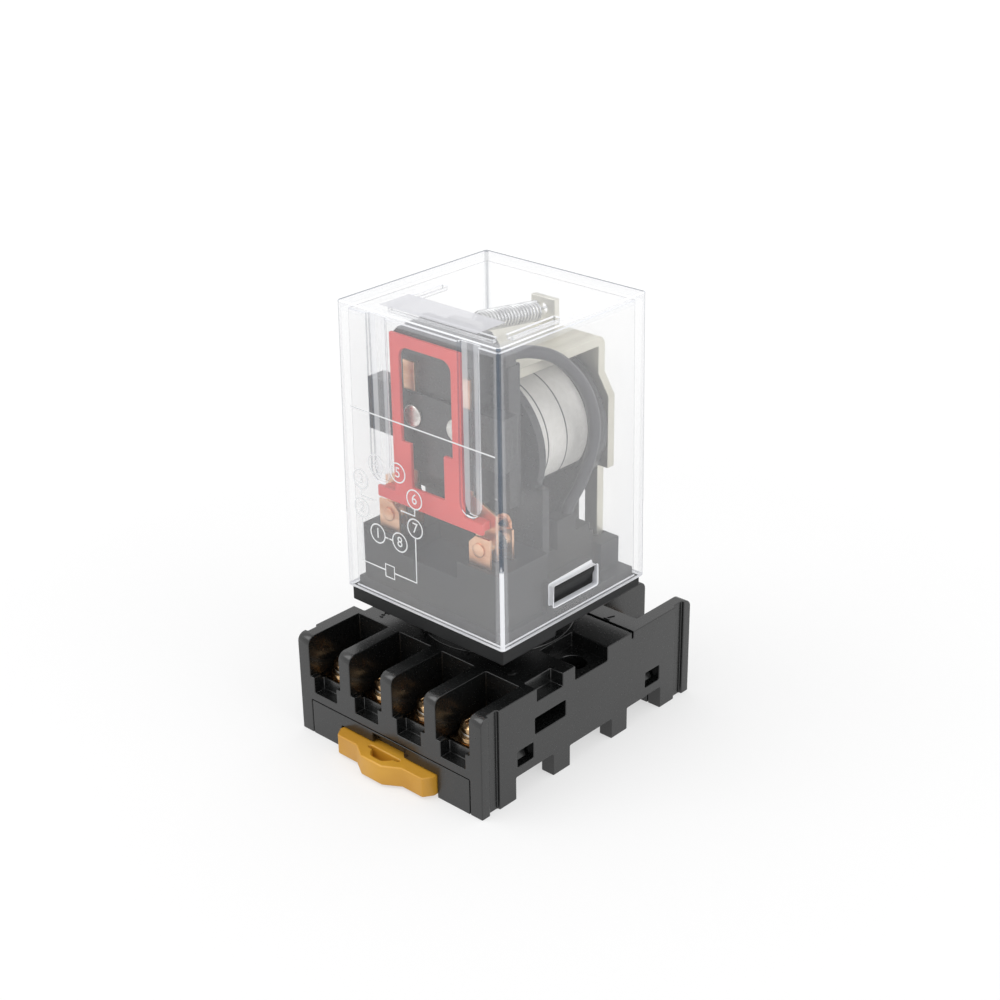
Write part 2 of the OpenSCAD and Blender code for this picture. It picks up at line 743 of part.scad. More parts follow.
// Black relay base: flange, key post and the blocks that carry contacts, coil and yoke
module relay_base() {
    color(BLACK) difference() {
        union() {
            block([-flange_half, -flange_half, seat_z + flange_step], [flange_half, flange_half, cover_z]);
            block([-flange_half, -flange_half, seat_z], [flange_half, pad_y, cover_z]);
            block([-base_half, -base_half, cover_z - 0.1], [base_half, base_half, tray_z]);
            contact_block();
            block([-coil_block_half, contact_block_back - 0.1, tray_z - 0.1],
                [coil_block_half, yoke_block_front, coil_block_z]);
            block([-yoke_block_half, yoke_block_front - 0.1, tray_z - 0.1],
                [yoke_block_half, yoke_back_y + 0.4, yoke_block_z]);
            both_sides() latch();
            both_sides() lead_post();
            key_post();
        }
        for (n = TERMINALS) translate(pin_place(n)) translate([0, 0, seat_z - eps])
            cylinder(r = pin_r + running_gap / 2, h = flange_t + pin_root_l + eps);
        both_sides() fixed_contact_slots();
        both_sides() block(
            [yoke_half - yoke_leg_w - fit_gap, yoke_front_y - fit_gap, yoke_leg_z - fit_gap],
            [yoke_half + fit_gap, yoke_back_y + fit_gap, yoke_block_z + eps]
        );
    }
}

// Block across the front that holds the fixed contacts, lower in the middle
module contact_block() {
    difference() {
        block([-contact_block_half, -base_half + 0.5, tray_z - 0.1],
            [contact_block_half, contact_block_back, contact_block_z]);
        block([-card_w / 2 + 1.5, -base_half, contact_block_z - 3],
            [card_w / 2 - 1.5, armature_front_y, contact_block_z + eps]);
    }
}

module fixed_contact_slots() {
    for (y = [nc_y, no_y])
        block([blade_end_x[0] - fit_gap, y - fit_gap, contact_block_z - fixed_root_l - fit_gap],
            [blade_end_x[1] + fit_gap, y + blade_t + fit_gap, contact_block_z + eps]);
}

// Upright wall with a wedge that snaps into the cover's window
module latch() {
    half = window_w / 2 - 0.3;
    block([base_half - latch_wall_t, -half - 0.6, tray_z - 0.1], [base_half, half + 0.6, window_z + window_h + 0.4]);
    along_y(-half, half) polygon([
        [base_half - 0.1, window_z + 0.3],
        [base_half + latch_reach, window_z + window_h - 1],
        [base_half + latch_reach, window_z + window_h - 0.3],
        [base_half - 0.1, window_z + window_h - 0.3],
    ]);
}

// Stepped post beside the coil that holds the end of a black lead
module lead_post() {
    block([post_x[0], post_y[0], coil_block_z - 0.1], [post_x[1], post_y[1], post_z[0]]);
    block([post_x[0], post_y[1] - 0.1, coil_block_z - 0.1], [post_x[1], post_y[2], post_z[1]]);
}

// Round post with a ridge that lets the plug in one way round
module key_post() {
    tip = 0.8;
    translate([0, 0, seat_z - key_l]) rotate_extrude() polygon([
        [0, 0], [key_d / 2 - tip, 0], [key_d / 2, tip], [key_d / 2, key_l + 0.1], [0, key_l + 0.1],
    ]);
    block([-key_ridge[0] / 2, -key_d / 2 - key_ridge[1], seat_z - key_l + tip], [key_ridge[0] / 2, 0, seat_z + 0.1]);
}

// Plug pin with a round tip
module pin(n) {
    color(STEEL) translate(pin_place(n)) {
        translate([0, 0, seat_z - pin_l + pin_r])
            cylinder(r = pin_r, h = pin_l - pin_r + flange_t + pin_root_l - 0.05);
        translate([0, 0, seat_z - pin_l + pin_r]) sphere(pin_r);
    }
}

// Clear cover: a tapered box, open below, with windows, guide ribs and a ribbed top
module cover() {
    color(CLEAR) {
        difference() {
            translate([0, 0, cover_z]) tapered_box(cover_w, cover_h, cover_round);
            translate([0, 0, cover_z - eps])
                tapered_box(cover_w - 2 * (cover_wall - eps * cover_taper), cover_h - cover_top_t + eps, 0.3);
            both_sides() block([inner_half - eps, -window_w / 2, window_z],
                [cover_w, window_w / 2, window_z + window_h]);
        }
        both_sides() guide_rib();
        top_ribs();
    }
}

// Box whose walls lean in by the cover's draft
module tapered_box(w, h, r) {
    linear_extrude(h, scale = 1 - 2 * h * cover_taper / w) rounded_square(w, r);
}

// Upright rib inside the front wall, with a round lower end
module guide_rib() {
    half = 1.95;
    x = card_w / 2 + 0.25 + half;
    low = card_bar_z[1] + half - 0.5;
    along_y(-inner_half - cover_wall / 2, -inner_half + 0.6) {
        translate([x - half, low]) square([2 * half, inner_top_z + 0.3 - low]);
        translate([x, low]) circle(half);
    }
}

// Shallow ribs under the cover's top
module top_ribs() {
    low = inner_top_z - 0.8;
    high = inner_top_z + 0.3;
    y = -inner_half + 4.4;
    block([-10.9, y - 0.5, low], [10.9, y + 0.5, high]);
    both_sides() block([11.1, y + 2.3, low], [12.3, y + 13, high]);
}

// Black coil former on feet
module bobbin() {
    color(BLACK) difference() {
        union() {
            lying_cylinder(bobbin_tube_r, bobbin_front_y, bobbin_back_y);
            lying_cylinder(bobbin_r, bobbin_front_y, winding_front_y);
            lying_cylinder(bobbin_r, winding_back_y, bobbin_back_y);
            block([-front_foot_half, bobbin_front_y, coil_block_z], [front_foot_half, winding_front_y, front_foot_z]);
            block([-rear_foot_half, winding_back_y, yoke_block_z],
                [rear_foot_half, bobbin_back_y, coil_z - bobbin_r / 2]);
        }
        lying_cylinder(core_d / 2 + running_gap, bobbin_front_y - eps, bobbin_back_y + eps);
    }
}

// Cylinder on the coil axis from one y to another
module lying_cylinder(r, from, to) {
    translate([0, to, coil_z]) rotate([90, 0, 0]) cylinder(r = r, h = to - from, $fn = 96);
}

module winding() {
    color(COPPER) difference() {
        lying_cylinder(winding_r, winding_front_y + 0.05, winding_back_y - 0.05);
        lying_cylinder(bobbin_tube_r + 0.05, winding_front_y - eps, winding_back_y + eps);
    }
}

// Black tape round the winding
module coil_tape() {
    color(BLACK) difference() {
        lying_cylinder(tape_r, winding_front_y + 0.05, winding_back_y - 0.05);
        lying_cylinder(tape_r - tape_t, winding_front_y - eps, winding_back_y + eps);
    }
}

// Pale label over the upper part of the tape
module coil_label() {
    color("#e6e5e2") difference() {
        lying_cylinder(label_r, winding_front_y + 0.1, winding_back_y - 0.1);
        lying_cylinder(tape_r, winding_front_y - eps, winding_back_y + eps);
        block([-label_r - eps, winding_front_y, coil_z - label_r - eps],
            [label_r + eps, winding_back_y, label_low_z]);
    }
}

// Iron core with a pole face in front and a rivet through the yoke behind
module core() {
    color(STEEL) {
        lying_cylinder(core_d / 2, pole_y, bobbin_back_y);
        lying_cylinder(pole_r, pole_y, pole_y + pole_t);
        lying_cylinder(core_rivet_r, bobbin_back_y - 0.1, yoke_back_y + 0.3);
    }
}

// Bent sheet: back plate with shoulders and legs, top plate and spring ear
module yoke() {
    color(STEEL) difference() {
        union() {
            along_y(yoke_front_y, yoke_back_y) yoke_back_outline();
            block([-yoke_half, yoke_edge_y, yoke_top_z], [yoke_half, yoke_back_y - yoke_t, yoke_top_z + yoke_t]);
            along_x(yoke_half) translate([yoke_back_y - yoke_t, yoke_top_z]) intersection() {
                circle(yoke_t);
                square(yoke_t);
            }
            block([-ear_half, ear_y, yoke_top_z + yoke_t - 0.1], [ear_half, ear_y + ear_t, rear_hook_z + 1.9]);
        }
        lying_cylinder(core_rivet_r + running_gap, yoke_front_y - eps, yoke_back_y + eps);
        translate([0, ear_y + ear_t + eps, rear_hook_z]) rotate([90, 0, 0])
            cylinder(r = hook_hole_r, h = ear_t + 2 * eps);
    }
}

// Back view of the yoke: x and z
module yoke_back_outline() {
    right = [
        [yoke_half, yoke_top_z + 0.01],
        [yoke_half, yoke_wing_z[1] + yoke_shoulder],
        [yoke_wing_half, yoke_wing_z[1]],
        [yoke_wing_half, yoke_wing_z[0]],
        [yoke_half, yoke_wing_z[0]],
        [yoke_half, yoke_leg_z],
        [yoke_half - yoke_leg_w, yoke_leg_z],
        [yoke_half - yoke_leg_w, yoke_crotch_z],
    ];
    left = [for (i = [len(right) - 1:-1:0]) [-right[i][0], right[i][1]]];
    polygon(concat(right, left));
}

// Close-wound tension spring from the armature's tail to the yoke's ear
module return_spring() {
    front = [0, armature_back_y + 2, front_hook_z];
    rear = [0, ear_y - 1.6, rear_hook_z];
    axis = unit(rear - front);
    up = cross([1, 0, 0], axis);
    turns = floor(norm(rear - front) / (1.9 * spring_wire_d));
    steps = 10;
    r = (spring_d - spring_wire_d) / 2;
    coil = [
        for (i = [0:turns * steps])
            front + axis * norm(rear - front) * i / (turns * steps)
            + r * ([1, 0, 0] * sin(360 * i / steps) + up * cos(360 * i / steps))
    ];
    color(SILVER) wire(
        concat(
            [[0, armature_back_y - armature_t / 2, front_hook_z], [0, armature_back_y + 0.9, front_hook_z]],
            coil,
            [[0, ear_y - 0.6, rear_hook_z], [0, ear_y + ear_t / 2, rear_hook_z]]
        ),
        spring_wire_d / 2, unit([0.05, 1, 0.31]), 6
    );
}

// Steel armature: a plate in front of the pole with a narrow tail for the spring
module armature() {
    color(STEEL) difference() {
        union() {
            block([-armature_half, armature_front_y, armature_low_z],
                [armature_half, armature_back_y, armature_top_z]);
            block([-tail_half, armature_front_y, yoke_top_z], [tail_half, armature_back_y, tail_z]);
        }
        translate([0, armature_back_y + eps, front_hook_z]) rotate([90, 0, 0])
            cylinder(r = hook_hole_r, h = armature_t + 2 * eps);
    }
}

// Black carrier in front of the armature, deeper at its head where the card is fixed
module armature_carrier() {
    color(BLACK) difference() {
        union() {
            block([-carrier_half, carrier_y, carrier_low_z], [carrier_half, armature_front_y, carrier_top_z]);
            block([-carrier_half, card_back_y, carrier_head_z], [carrier_half, armature_front_y, carrier_top_z]);
            both_sides() carrier_cheek();
            blade_cover();
        }
        along_y(card_back_y - eps, armature_front_y + eps) both_sides()
            translate([carrier_half, carrier_top_z]) rotate(45) square(2.4, center = true);
    }
}

// One side of the carrier: web and rim round the armature, an arm and the lug of a black lead
module carrier_cheek() {
    web_y = armature_front_y - carrier_web_t;
    block([carrier_half - 0.1, web_y, carrier_web_z[0]], [carrier_web_half, armature_front_y, carrier_web_z[1]]);
    block([armature_half + 0.1, web_y, carrier_web_z[0]], [carrier_web_half, armature_back_y, carrier_web_z[1]]);
    block([carrier_half - 0.1, carrier_arm_y[0], carrier_arm_z[0]],
        [carrier_arm_half, carrier_arm_y[1], carrier_arm_z[1]]);
    block([lug_x - lead_d / 2, lug_y[0], carrier_web_z[1] - 0.1],
        [lug_x + lead_d / 2, lug_y[1], lug_z + lead_d / 2]);
}

// Thin plate over the middle of the blades, open above where their ends show
module blade_cover() {
    front_y = blade_y - blade_cover_t;
    block([-carrier_half, front_y, blade_cover_z[0]], [carrier_half, blade_y, blade_cover_z[1]]);
    block([-1.2, front_y, blade_cover_z[0]], [1.2, carrier_y + 0.1, blade_cover_z[1]]);
    both_sides() block([blade_x[1] + 0.15, front_y, blade_cover_z[0]],
        [carrier_half, carrier_y + 0.1, blade_cover_z[1]]);
}

// Thin red card: a frame with one large window and a cross bar that drives the blades
module contact_card() {
    color(RED) {
        along_y(card_y, card_back_y) difference() {
            card_outline();
            card_window();
        }
        both_sides() block([tip_x - 1.2, card_back_y - 0.1, card_tip_z[0] + 0.2],
            [tip_x + 1, blade_y, card_tip_z[1] - 0.2]);
    }
}

module card_outline() {
    translate([-card_w / 2, card_bar_z[0]]) square([card_w, card_top_z - card_bar_z[0]]);
    translate([-card_bar_w / 2, card_tip_z[0]]) square([card_bar_w, card_tip_z[1] - card_tip_z[0]]);
}

// Window of the card with two round upper corners and wider feet below
module card_window() {
    half = card_w / 2 - card_leg_w;
    low_half = card_w / 2 - card_foot_w;
    translate([-low_half, card_bar_z[1]]) square([2 * low_half, card_window_z - card_bar_z[1] - card_corner_r]);
    translate([-half, card_foot_z]) square([2 * half, card_window_z - card_foot_z - card_corner_r]);
    translate([-half + card_corner_r, card_foot_z])
        square([2 * (half - card_corner_r), card_window_z - card_foot_z]);
    for (x = [-1, 1])
        translate([x * (half - card_corner_r), card_window_z - card_corner_r]) circle(card_corner_r);
}

// Bright rivets that hold the blades to the carrier
module card_rivets() {
    color(SILVER) both_sides() translate([rivet_x, blade_y - blade_cover_t, rivet_z])
        rotate([90, 0, 0]) cylinder(r = rivet_r, h = rivet_t);
}

// Copper blade on the carrier, bent outwards to its contact
module moving_contact() {
    color(COPPER) {
        along_y(blade_y, carrier_y) polygon([
            [blade_x[0], blade_top_z],
            [blade_x[1], blade_top_z],
            [blade_x[1], blade_bend_z[1]],
            [blade_end_x[1], blade_bend_z[0]],
            [blade_end_x[1], blade_low_z],
            [blade_end_x[0], blade_low_z],
            [blade_end_x[0], blade_bend_z[0] - 1.6],
            [blade_x[0], blade_bend_z[0] + 0.6],
        ]);
        translate([rivet_x, carrier_y, rivet_z]) rotate([90, 0, 0]) cylinder(r = lug_r, h = blade_t);
    }
}

// Fixed copper contact that stands in a slot of the contact block
module fixed_contact(y) {
    color(COPPER) along_y(y, y + blade_t) polygon([
        [blade_end_x[0], contact_block_z - fixed_root_l],
        [blade_end_x[1], contact_block_z - fixed_root_l],
        [blade_end_x[1], fixed_top_z],
        [blade_end_x[0] + fixed_corner, fixed_top_z],
        [blade_end_x[0], fixed_top_z - fixed_corner],
    ]);
}

// Silver tips, each from its blade's face to its contact face
module tip(from) {
    translate([tip_x, from + tip_h, tip_z]) rotate([90, 0, 0]) cylinder(r = tip_r, h = tip_h);
}

module fixed_tips() {
    color(SILVER) both_sides() {
        tip(nc_tip_y - tip_h);
        tip(no_tip_y);
    }
}

module moving_tips() {
    color(SILVER) both_sides() {
        tip(blade_y - tip_h);
        tip(carrier_y);
    }
}

// Flexible copper lead from a blade to the base
module braid() {
    color(COPPER) wire([for (p = braid_route) [tip_x, p[0], p[1]]], braid_r, [1, 0, 0]);
}

// Thin lead from the winding to the base
module coil_lead() {
    color(COPPER) wire([for (p = coil_lead_route) [coil_lead_x, p[0], p[1]]], coil_lead_r, [1, 0, 0], 6);
}

// Black flexible lead from the carrier to the base
module lead() {
    color(BLACK) wire(lead_route, lead_d / 2, [1, 0, 0]);
}

module left() {
    mirror([1, 0, 0]) children();
}

socket_body();
base_plate();
din_clip();
clamp_plates();
spring_washers();
for (n = TERMINALS) {
    terminal_contact(n);
    terminal_screw(n);
    pin(n);
}
relay_base();
cover();
bobbin();
winding();
coil_tape();
coil_label();
core();
yoke();
return_spring();
left() fixed_contact(nc_y);  // nc_contact_left
fixed_contact(nc_y);  // nc_contact_right
left() fixed_contact(no_y);  // no_contact_left
fixed_contact(no_y);  // no_contact_right
fixed_tips();
left() braid();  // braid_left
braid();  // braid_right
left() coil_lead();  // coil_lead_left
coil_lead();  // coil_lead_right
left() lead();  // lead_left
lead();  // lead_right
armature();
armature_carrier();
contact_card();
card_rivets();
left() moving_contact();  // moving_contact_left
moving_contact();  // moving_contact_right
moving_tips();
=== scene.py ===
# %% [markdown]
# # A plug-in relay in its screw-terminal socket
#
# The solids come from the CAD model as a fixed frame, in metres. This lesson dresses them: it softens the
# moulded edges, makes the spring, the braids and the leads that CAD draws coarsely, and gives every piece a
# finish.

# %% Load the frame
import bpy
import json
import math
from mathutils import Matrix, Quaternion, Vector


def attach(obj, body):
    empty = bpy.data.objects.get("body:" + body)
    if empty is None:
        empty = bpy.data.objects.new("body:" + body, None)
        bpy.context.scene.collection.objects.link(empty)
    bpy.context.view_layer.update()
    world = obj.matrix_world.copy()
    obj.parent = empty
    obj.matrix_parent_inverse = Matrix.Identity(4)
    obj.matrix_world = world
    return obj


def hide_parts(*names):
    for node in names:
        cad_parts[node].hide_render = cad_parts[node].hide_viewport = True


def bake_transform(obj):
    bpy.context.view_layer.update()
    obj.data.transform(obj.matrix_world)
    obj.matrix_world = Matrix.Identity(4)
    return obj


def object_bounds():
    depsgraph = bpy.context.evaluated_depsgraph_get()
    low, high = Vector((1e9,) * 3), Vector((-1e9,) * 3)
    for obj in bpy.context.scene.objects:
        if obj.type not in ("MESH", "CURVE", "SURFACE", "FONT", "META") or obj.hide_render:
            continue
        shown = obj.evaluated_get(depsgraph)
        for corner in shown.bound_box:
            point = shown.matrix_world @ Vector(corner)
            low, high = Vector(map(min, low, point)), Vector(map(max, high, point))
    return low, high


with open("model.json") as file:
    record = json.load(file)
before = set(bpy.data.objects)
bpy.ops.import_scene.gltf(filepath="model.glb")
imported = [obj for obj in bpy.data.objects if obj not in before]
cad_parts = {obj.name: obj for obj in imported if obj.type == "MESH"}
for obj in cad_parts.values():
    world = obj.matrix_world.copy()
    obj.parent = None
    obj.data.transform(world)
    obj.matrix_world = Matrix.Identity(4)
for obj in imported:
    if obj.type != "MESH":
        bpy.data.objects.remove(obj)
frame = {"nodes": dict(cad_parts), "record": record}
cad_low, cad_high = [list(corner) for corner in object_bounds()]
nodes = frame["nodes"]
MM = 0.001
print("pieces from CAD:", len(nodes), "box in metres:", cad_low, cad_high)

# %% [markdown]
# ## The camera
#
# A camera can be placed by eye, but here it was worked out from edges of the socket and the cover whose
# sizes are known. It stands to the right of the front and looks down at about 25 degrees. The lens is a
# short telephoto, which keeps the upright edges nearly parallel.

# %% Camera
scene = bpy.context.scene
LOOK_AT = Vector((1.991, -0.994, 39.982)) * MM
VIEW_SIDE, VIEW_DOWN, VIEW_ROLL = (math.radians(a) for a in (42.916, 25.064, -0.850))
VIEW_DISTANCE = 286.834 * MM
SENSOR_MM = 36
FOCAL_SHARE = 1.797155  # focal length over the width of the sensor
NEAREST = 10 * MM

bpy.ops.object.camera_add()
camera = bpy.context.object
camera.name = "photo_camera"
towards_camera = Vector((
    math.sin(VIEW_SIDE) * math.cos(VIEW_DOWN),
    -math.cos(VIEW_SIDE) * math.cos(VIEW_DOWN),
    math.sin(VIEW_DOWN),
))
camera.location = LOOK_AT + towards_camera * VIEW_DISTANCE
camera.rotation_mode = "QUATERNION"
camera.rotation_quaternion = (-towards_camera).to_track_quat("-Z", "Y") @ Quaternion((0, 0, 1), VIEW_ROLL)
camera.data.sensor_width = SENSOR_MM
camera.data.lens = FOCAL_SHARE * SENSOR_MM
camera.data.clip_start = NEAREST
scene.camera = camera
print("camera at", [round(v, 4) for v in camera.location], "lens", round(camera.data.lens, 1), "mm")

# %% [markdown]
# ## Colours and nodes
#
# Colours are noted as the eye sees them, in sRGB, and shaders want linear light, so one function turns
# one into the other. A second one adds a node, sets it and links it in one line. Patterns are noise, and
# since most of a noise lies in the middle of its range, two colours are spread over that middle only.

# %% Helpers for finishes
COLOUR_A, COLOUR_B, COLOUR_OUT = 6, 7, 2  # the colour sockets of a mix node
CLOUD = (0.3, 0.7)  # the span that most of a noise lies in


def linear(code):
    """Linear red, green, blue and alpha of an sRGB colour such as #a0b1c2."""
    parts = [int(code[i:i + 2], 16) / 255 for i in (1, 3, 5)]
    return [p / 12.92 if p <= 0.04045 else ((p + 0.055) / 1.055) ** 2.4 for p in parts] + [1.0]


def add(tree, kind, inputs=(), **settings):
    """A new node; each input is given as (socket, value or the output that feeds it)."""
    made = tree.nodes.new(kind)
    for name, value in settings.items():
        setattr(made, name, value)
    for socket, value in inputs:
        if isinstance(value, bpy.types.NodeSocket):
            tree.links.new(value, made.inputs[socket])
        else:
            made.inputs[socket].default_value = value
    return made


def new_finish(name, **values):
    """A material, its node tree, its shader and the object coordinates that patterns read."""
    material = bpy.data.materials.new(name)
    material.use_nodes = True
    tree = material.node_tree
    shader = tree.nodes["Principled BSDF"]
    for socket, value in values.items():
        shader.inputs[socket.replace("_", " ")].default_value = value
    place = add(tree, "ShaderNodeTexCoord").outputs["Object"]
    return material, tree, shader, place


def two_tone(tree, value, span, first, second):
    """Colour that goes from the first sRGB colour to the second as value goes through the span."""
    share = add(tree, "ShaderNodeMapRange", [("Value", value), ("From Min", span[0]), ("From Max", span[1])])
    mix = add(tree, "ShaderNodeMix", [
        (0, share.outputs["Result"]), (COLOUR_A, linear(first)), (COLOUR_B, linear(second)),
    ], data_type="RGBA")
    return mix.outputs[COLOUR_OUT]


def per_mm(size):
    """Texture scale that repeats once in so many millimetres."""
    return 1 / (size * MM)


print("middle grey in linear light:", [round(v, 3) for v in linear("#808080")])

# %% [markdown]
# ## Moulded plastics
#
# Socket, base and bobbin are glass-filled thermoplastic or phenolic: nearly black, with the fine grain of a
# spark-eroded mould that breaks up their gloss. The clip is an amber polyamide and the card is red. One
# function makes them all, because they differ only in colour, gloss and grain. The grain is about 0.2 mm on
# the real mouldings and is drawn at 0.35 mm, so that it shows at all. Pieces behind the clear cover have it
# in their gloss only, as relief would look like dust there.

# %% Plastics
DRIFT_MM, GRAIN_MM = 9, 0.35
GRAIN_DEPTH = 0.06 * MM
PLASTIC_IOR = 1.55
GLOSSIER, DULLER = 0.08, 0.12  # how far the grain moves the roughness


def moulded(name, dark, light, roughness, grain=0, shine=0.5):
    """Moulded plastic: slow colour drift, and grain in its gloss and by choice in its relief."""
    material, tree, shader, place = new_finish(
        name, Roughness=roughness, IOR=PLASTIC_IOR, Specular_IOR_Level=shine)
    drift = add(tree, "ShaderNodeTexNoise", [("Vector", place), ("Scale", per_mm(DRIFT_MM)), ("Detail", 3.0)])
    tone = two_tone(tree, drift.outputs["Fac"], CLOUD, dark, light)
    tree.links.new(tone, shader.inputs["Base Color"])
    fine = add(tree, "ShaderNodeTexNoise", [("Vector", place), ("Scale", per_mm(GRAIN_MM)), ("Detail", 2.0)])
    gloss = add(tree, "ShaderNodeMapRange", [
        ("Value", fine.outputs["Fac"]), ("To Min", roughness - GLOSSIER), ("To Max", roughness + DULLER)])
    tree.links.new(gloss.outputs["Result"], shader.inputs["Roughness"])
    if grain:
        bump = add(tree, "ShaderNodeBump", [
            ("Height", fine.outputs["Fac"]), ("Strength", grain), ("Distance", GRAIN_DEPTH)])
        tree.links.new(bump.outputs["Normal"], shader.inputs["Normal"])
    return material


# Nearly black, and glossy enough to mirror the screws in the walls beside them.
black_plastic = moulded("glass-filled black PBT", "#0d0e0e", "#141515", 0.22, grain=0.12, shine=0.62)
# Smooth and hard, with a soft shine.
carrier_plastic = moulded("black phenolic moulding", "#16181a", "#1f2124", 0.28)
# The same with a dull skin, which stays dark inside the cover.
base_plastic = moulded("black phenolic moulding, dull", "#111213", "#191a1b", 0.45, shine=0.25)
# Thin and slightly brown.
black_tape = moulded("black insulating tape", "#23241f", "#2c2d28", 0.42)
# Soft and slightly blue.
black_sleeve = moulded("black PVC insulation", "#22232a", "#2b2c33", 0.38)
# Warm, with a faint grain.
amber_plastic = moulded("amber polyamide", "#bf8824", "#cf992f", 0.4, grain=0.15)
# The one bright colour, seen through the haze of the cover.
red_plastic = moulded("red PBT", "#d8383a", "#e2453f", 0.4)
print("finishes so far:", [m.name for m in bpy.data.materials])

# %% [markdown]
# ## Metals
#
# Clamp screws and plates are brass-plated steel, yoke and armature zinc-plated steel, the blades bare copper
# alloy and the contact tips silver. A metal takes its colour from its reflection, so each is metallic, and
# what tells them apart is colour, gloss and the stain that handling leaves.

# %% Metals
STAIN_SPAN = (0.28, 0.62)
STAIN_DEPTH, STAIN_RELIEF = 0.05 * MM, 0.15
STAIN_DULLER, BRIGHT_GLOSSIER = 0.15, 0.08


def plated(name, stained, bright, roughness, stain_mm, streak=(1, 1, 1)):
    """Metal with a cloudy stain; a small share in streak draws the cloud out along that direction."""
    material, tree, shader, place = new_finish(name, Metallic=1.0, Roughness=roughness)
    drawn = add(tree, "ShaderNodeMapping", [("Vector", place), ("Scale", streak)])
    cloud = add(tree, "ShaderNodeTexNoise", [
        ("Vector", drawn.outputs["Vector"]), ("Scale", per_mm(stain_mm)), ("Detail", 5.0)])
    tone = two_tone(tree, cloud.outputs["Fac"], STAIN_SPAN, stained, bright)
    tree.links.new(tone, shader.inputs["Base Color"])
    gloss = add(tree, "ShaderNodeMapRange", [
        ("Value", cloud.outputs["Fac"]), ("To Min", roughness + STAIN_DULLER),
        ("To Max", roughness - BRIGHT_GLOSSIER)])
    tree.links.new(gloss.outputs["Result"], shader.inputs["Roughness"])
    bump = add(tree, "ShaderNodeBump", [
        ("Height", cloud.outputs["Fac"]), ("Strength", STAIN_RELIEF), ("Distance", STAIN_DEPTH)])
    tree.links.new(bump.outputs["Normal"], shader.inputs["Normal"])
    return material


# Small sharp glints between brown stains.
brass = plated("brass-plated steel", "#63462e", "#d3b185", 0.15, 1.6)
# Even and grey.
zinc = plated("zinc-plated steel", "#a9aaa6", "#d9d9d5", 0.36, 3.0)
# Cream-coloured, with faint streaks along the strip that the yoke is bent from.
yellow_zinc = plated("yellow-passivated steel", "#c3bfb2", "#dad7ca", 0.4, 3.0, (1, 0.2, 0.2))
# Bright, so that each turn of the spring has its own glint.
bright_steel = plated("bright spring steel", "#a3a4a6", "#d8d9da", 0.2, 1.5)
# Pale and pinkish, rolled lengthways.
copper = plated("copper alloy strip", "#d0926c", "#f0c4a2", 0.3, 2.0, (0.25, 1, 1))
# Redder than the strip.
copper_wire = plated("bare copper wire", "#bd7a54", "#eeb592", 0.28, 0.8)
# The palest of them.
silver = plated("silver contact alloy", "#bdbcb8", "#ecebe6", 0.25, 1.2)
print("metals:", [m.name for m in (brass, zinc, yellow_zinc, bright_steel, copper, copper_wire, silver)])

# %% [markdown]
# ## The clear walls of the cover
#
# The cover is moulded polycarbonate. Seen square on, a wall is nearly invisible: only a thin haze turns what
# is black behind it grey. Seen at a slant it reflects more and looks milky. A glass shader would bend the
# view, but a wall this thin hardly bends it, so this one lets light straight through and its alpha grows
# with the slant.

# %% Clear walls
CLEAR_IOR = 1.585
FLOW_MM, FLOW_DEPTH, FLOW_RELIEF = 14, 0.2 * MM, 0.05
HAZE_SQUARE_ON, HAZE_AT_SLANT = 0.112, 0.21
SLANT_POWER, FULL_SLANT = 4.0, 0.35

# Glossy and colourless, a veil more than a colour.
clear_plastic, tree, shader, place = new_finish("clear polycarbonate", Roughness=0.06, IOR=CLEAR_IOR)
flow = add(tree, "ShaderNodeTexNoise", [("Vector", place), ("Scale", per_mm(FLOW_MM)), ("Detail", 1.0)])
flow = flow.outputs["Fac"]
bump = add(tree, "ShaderNodeBump", [("Height", flow), ("Strength", FLOW_RELIEF), ("Distance", FLOW_DEPTH)])
tree.links.new(bump.outputs["Normal"], shader.inputs["Normal"])
slant = add(tree, "ShaderNodeLayerWeight", [("Blend", 0.5)]).outputs["Facing"]
steep = add(tree, "ShaderNodeMath", [(0, slant), (1, SLANT_POWER)], operation="POWER").outputs[0]
haze = add(tree, "ShaderNodeMapRange", [
    ("Value", steep), ("From Max", FULL_SLANT), ("To Min", HAZE_SQUARE_ON), ("To Max", HAZE_AT_SLANT)])
haze = haze.outputs["Result"]
print(clear_plastic.name, "haze", HAZE_SQUARE_ON, "to", HAZE_AT_SLANT)

# %% [markdown]
# ## Dense places of the clear walls
#
# Three places of the walls are denser than the rest. A white band of painted highlight, where light leaves
# the wall, follows the corner columns and the seam below the top. A grey line of painted refraction follows
# the left and back edges of the top. A milky grey field lies in the front of the top, and is milkiest at a
# slant. They could be separate faces, but they are soft, so they are found from the object coordinates
# instead.

# %% Dense places
# The white band is a painted highlight and the grey line is painted refraction.
HIGHLIGHT_BAND_ALPHA, REFRACTION_LINE_ALPHA = 0.26, 0.45
FIELD_HALF_X, FIELD_Y, FIELD_HALF_Y = 10.1 * MM, -11.0 * MM, 3.2 * MM
FIELD_SLANT, FIELD_ALPHA = (0.1, 0.55), (0.15, 0.62)

x, y, z = add(tree, "ShaderNodeSeparateXYZ", [("Vector", place)]).outputs
field_x = add(tree, "ShaderNodeMath", [
    (0, x), (1, 0.0), (2, FIELD_HALF_X)], operation="COMPARE").outputs[0]
field_y = add(tree, "ShaderNodeMath", [
    (0, y), (1, FIELD_Y), (2, FIELD_HALF_Y)], operation="COMPARE").outputs[0]
field = add(tree, "ShaderNodeMath", [(0, field_x), (1, field_y)], operation="MULTIPLY").outputs[0]
left = add(tree, "ShaderNodeMath", [(0, x), (1, -1.0)], operation="MULTIPLY").outputs[0]
far = add(tree, "ShaderNodeMath", [(0, left), (1, y)], operation="MAXIMUM").outputs[0]
x = add(tree, "ShaderNodeMath", [(0, x)], operation="ABSOLUTE").outputs[0]
y = add(tree, "ShaderNodeMath", [(0, y)], operation="ABSOLUTE").outputs[0]
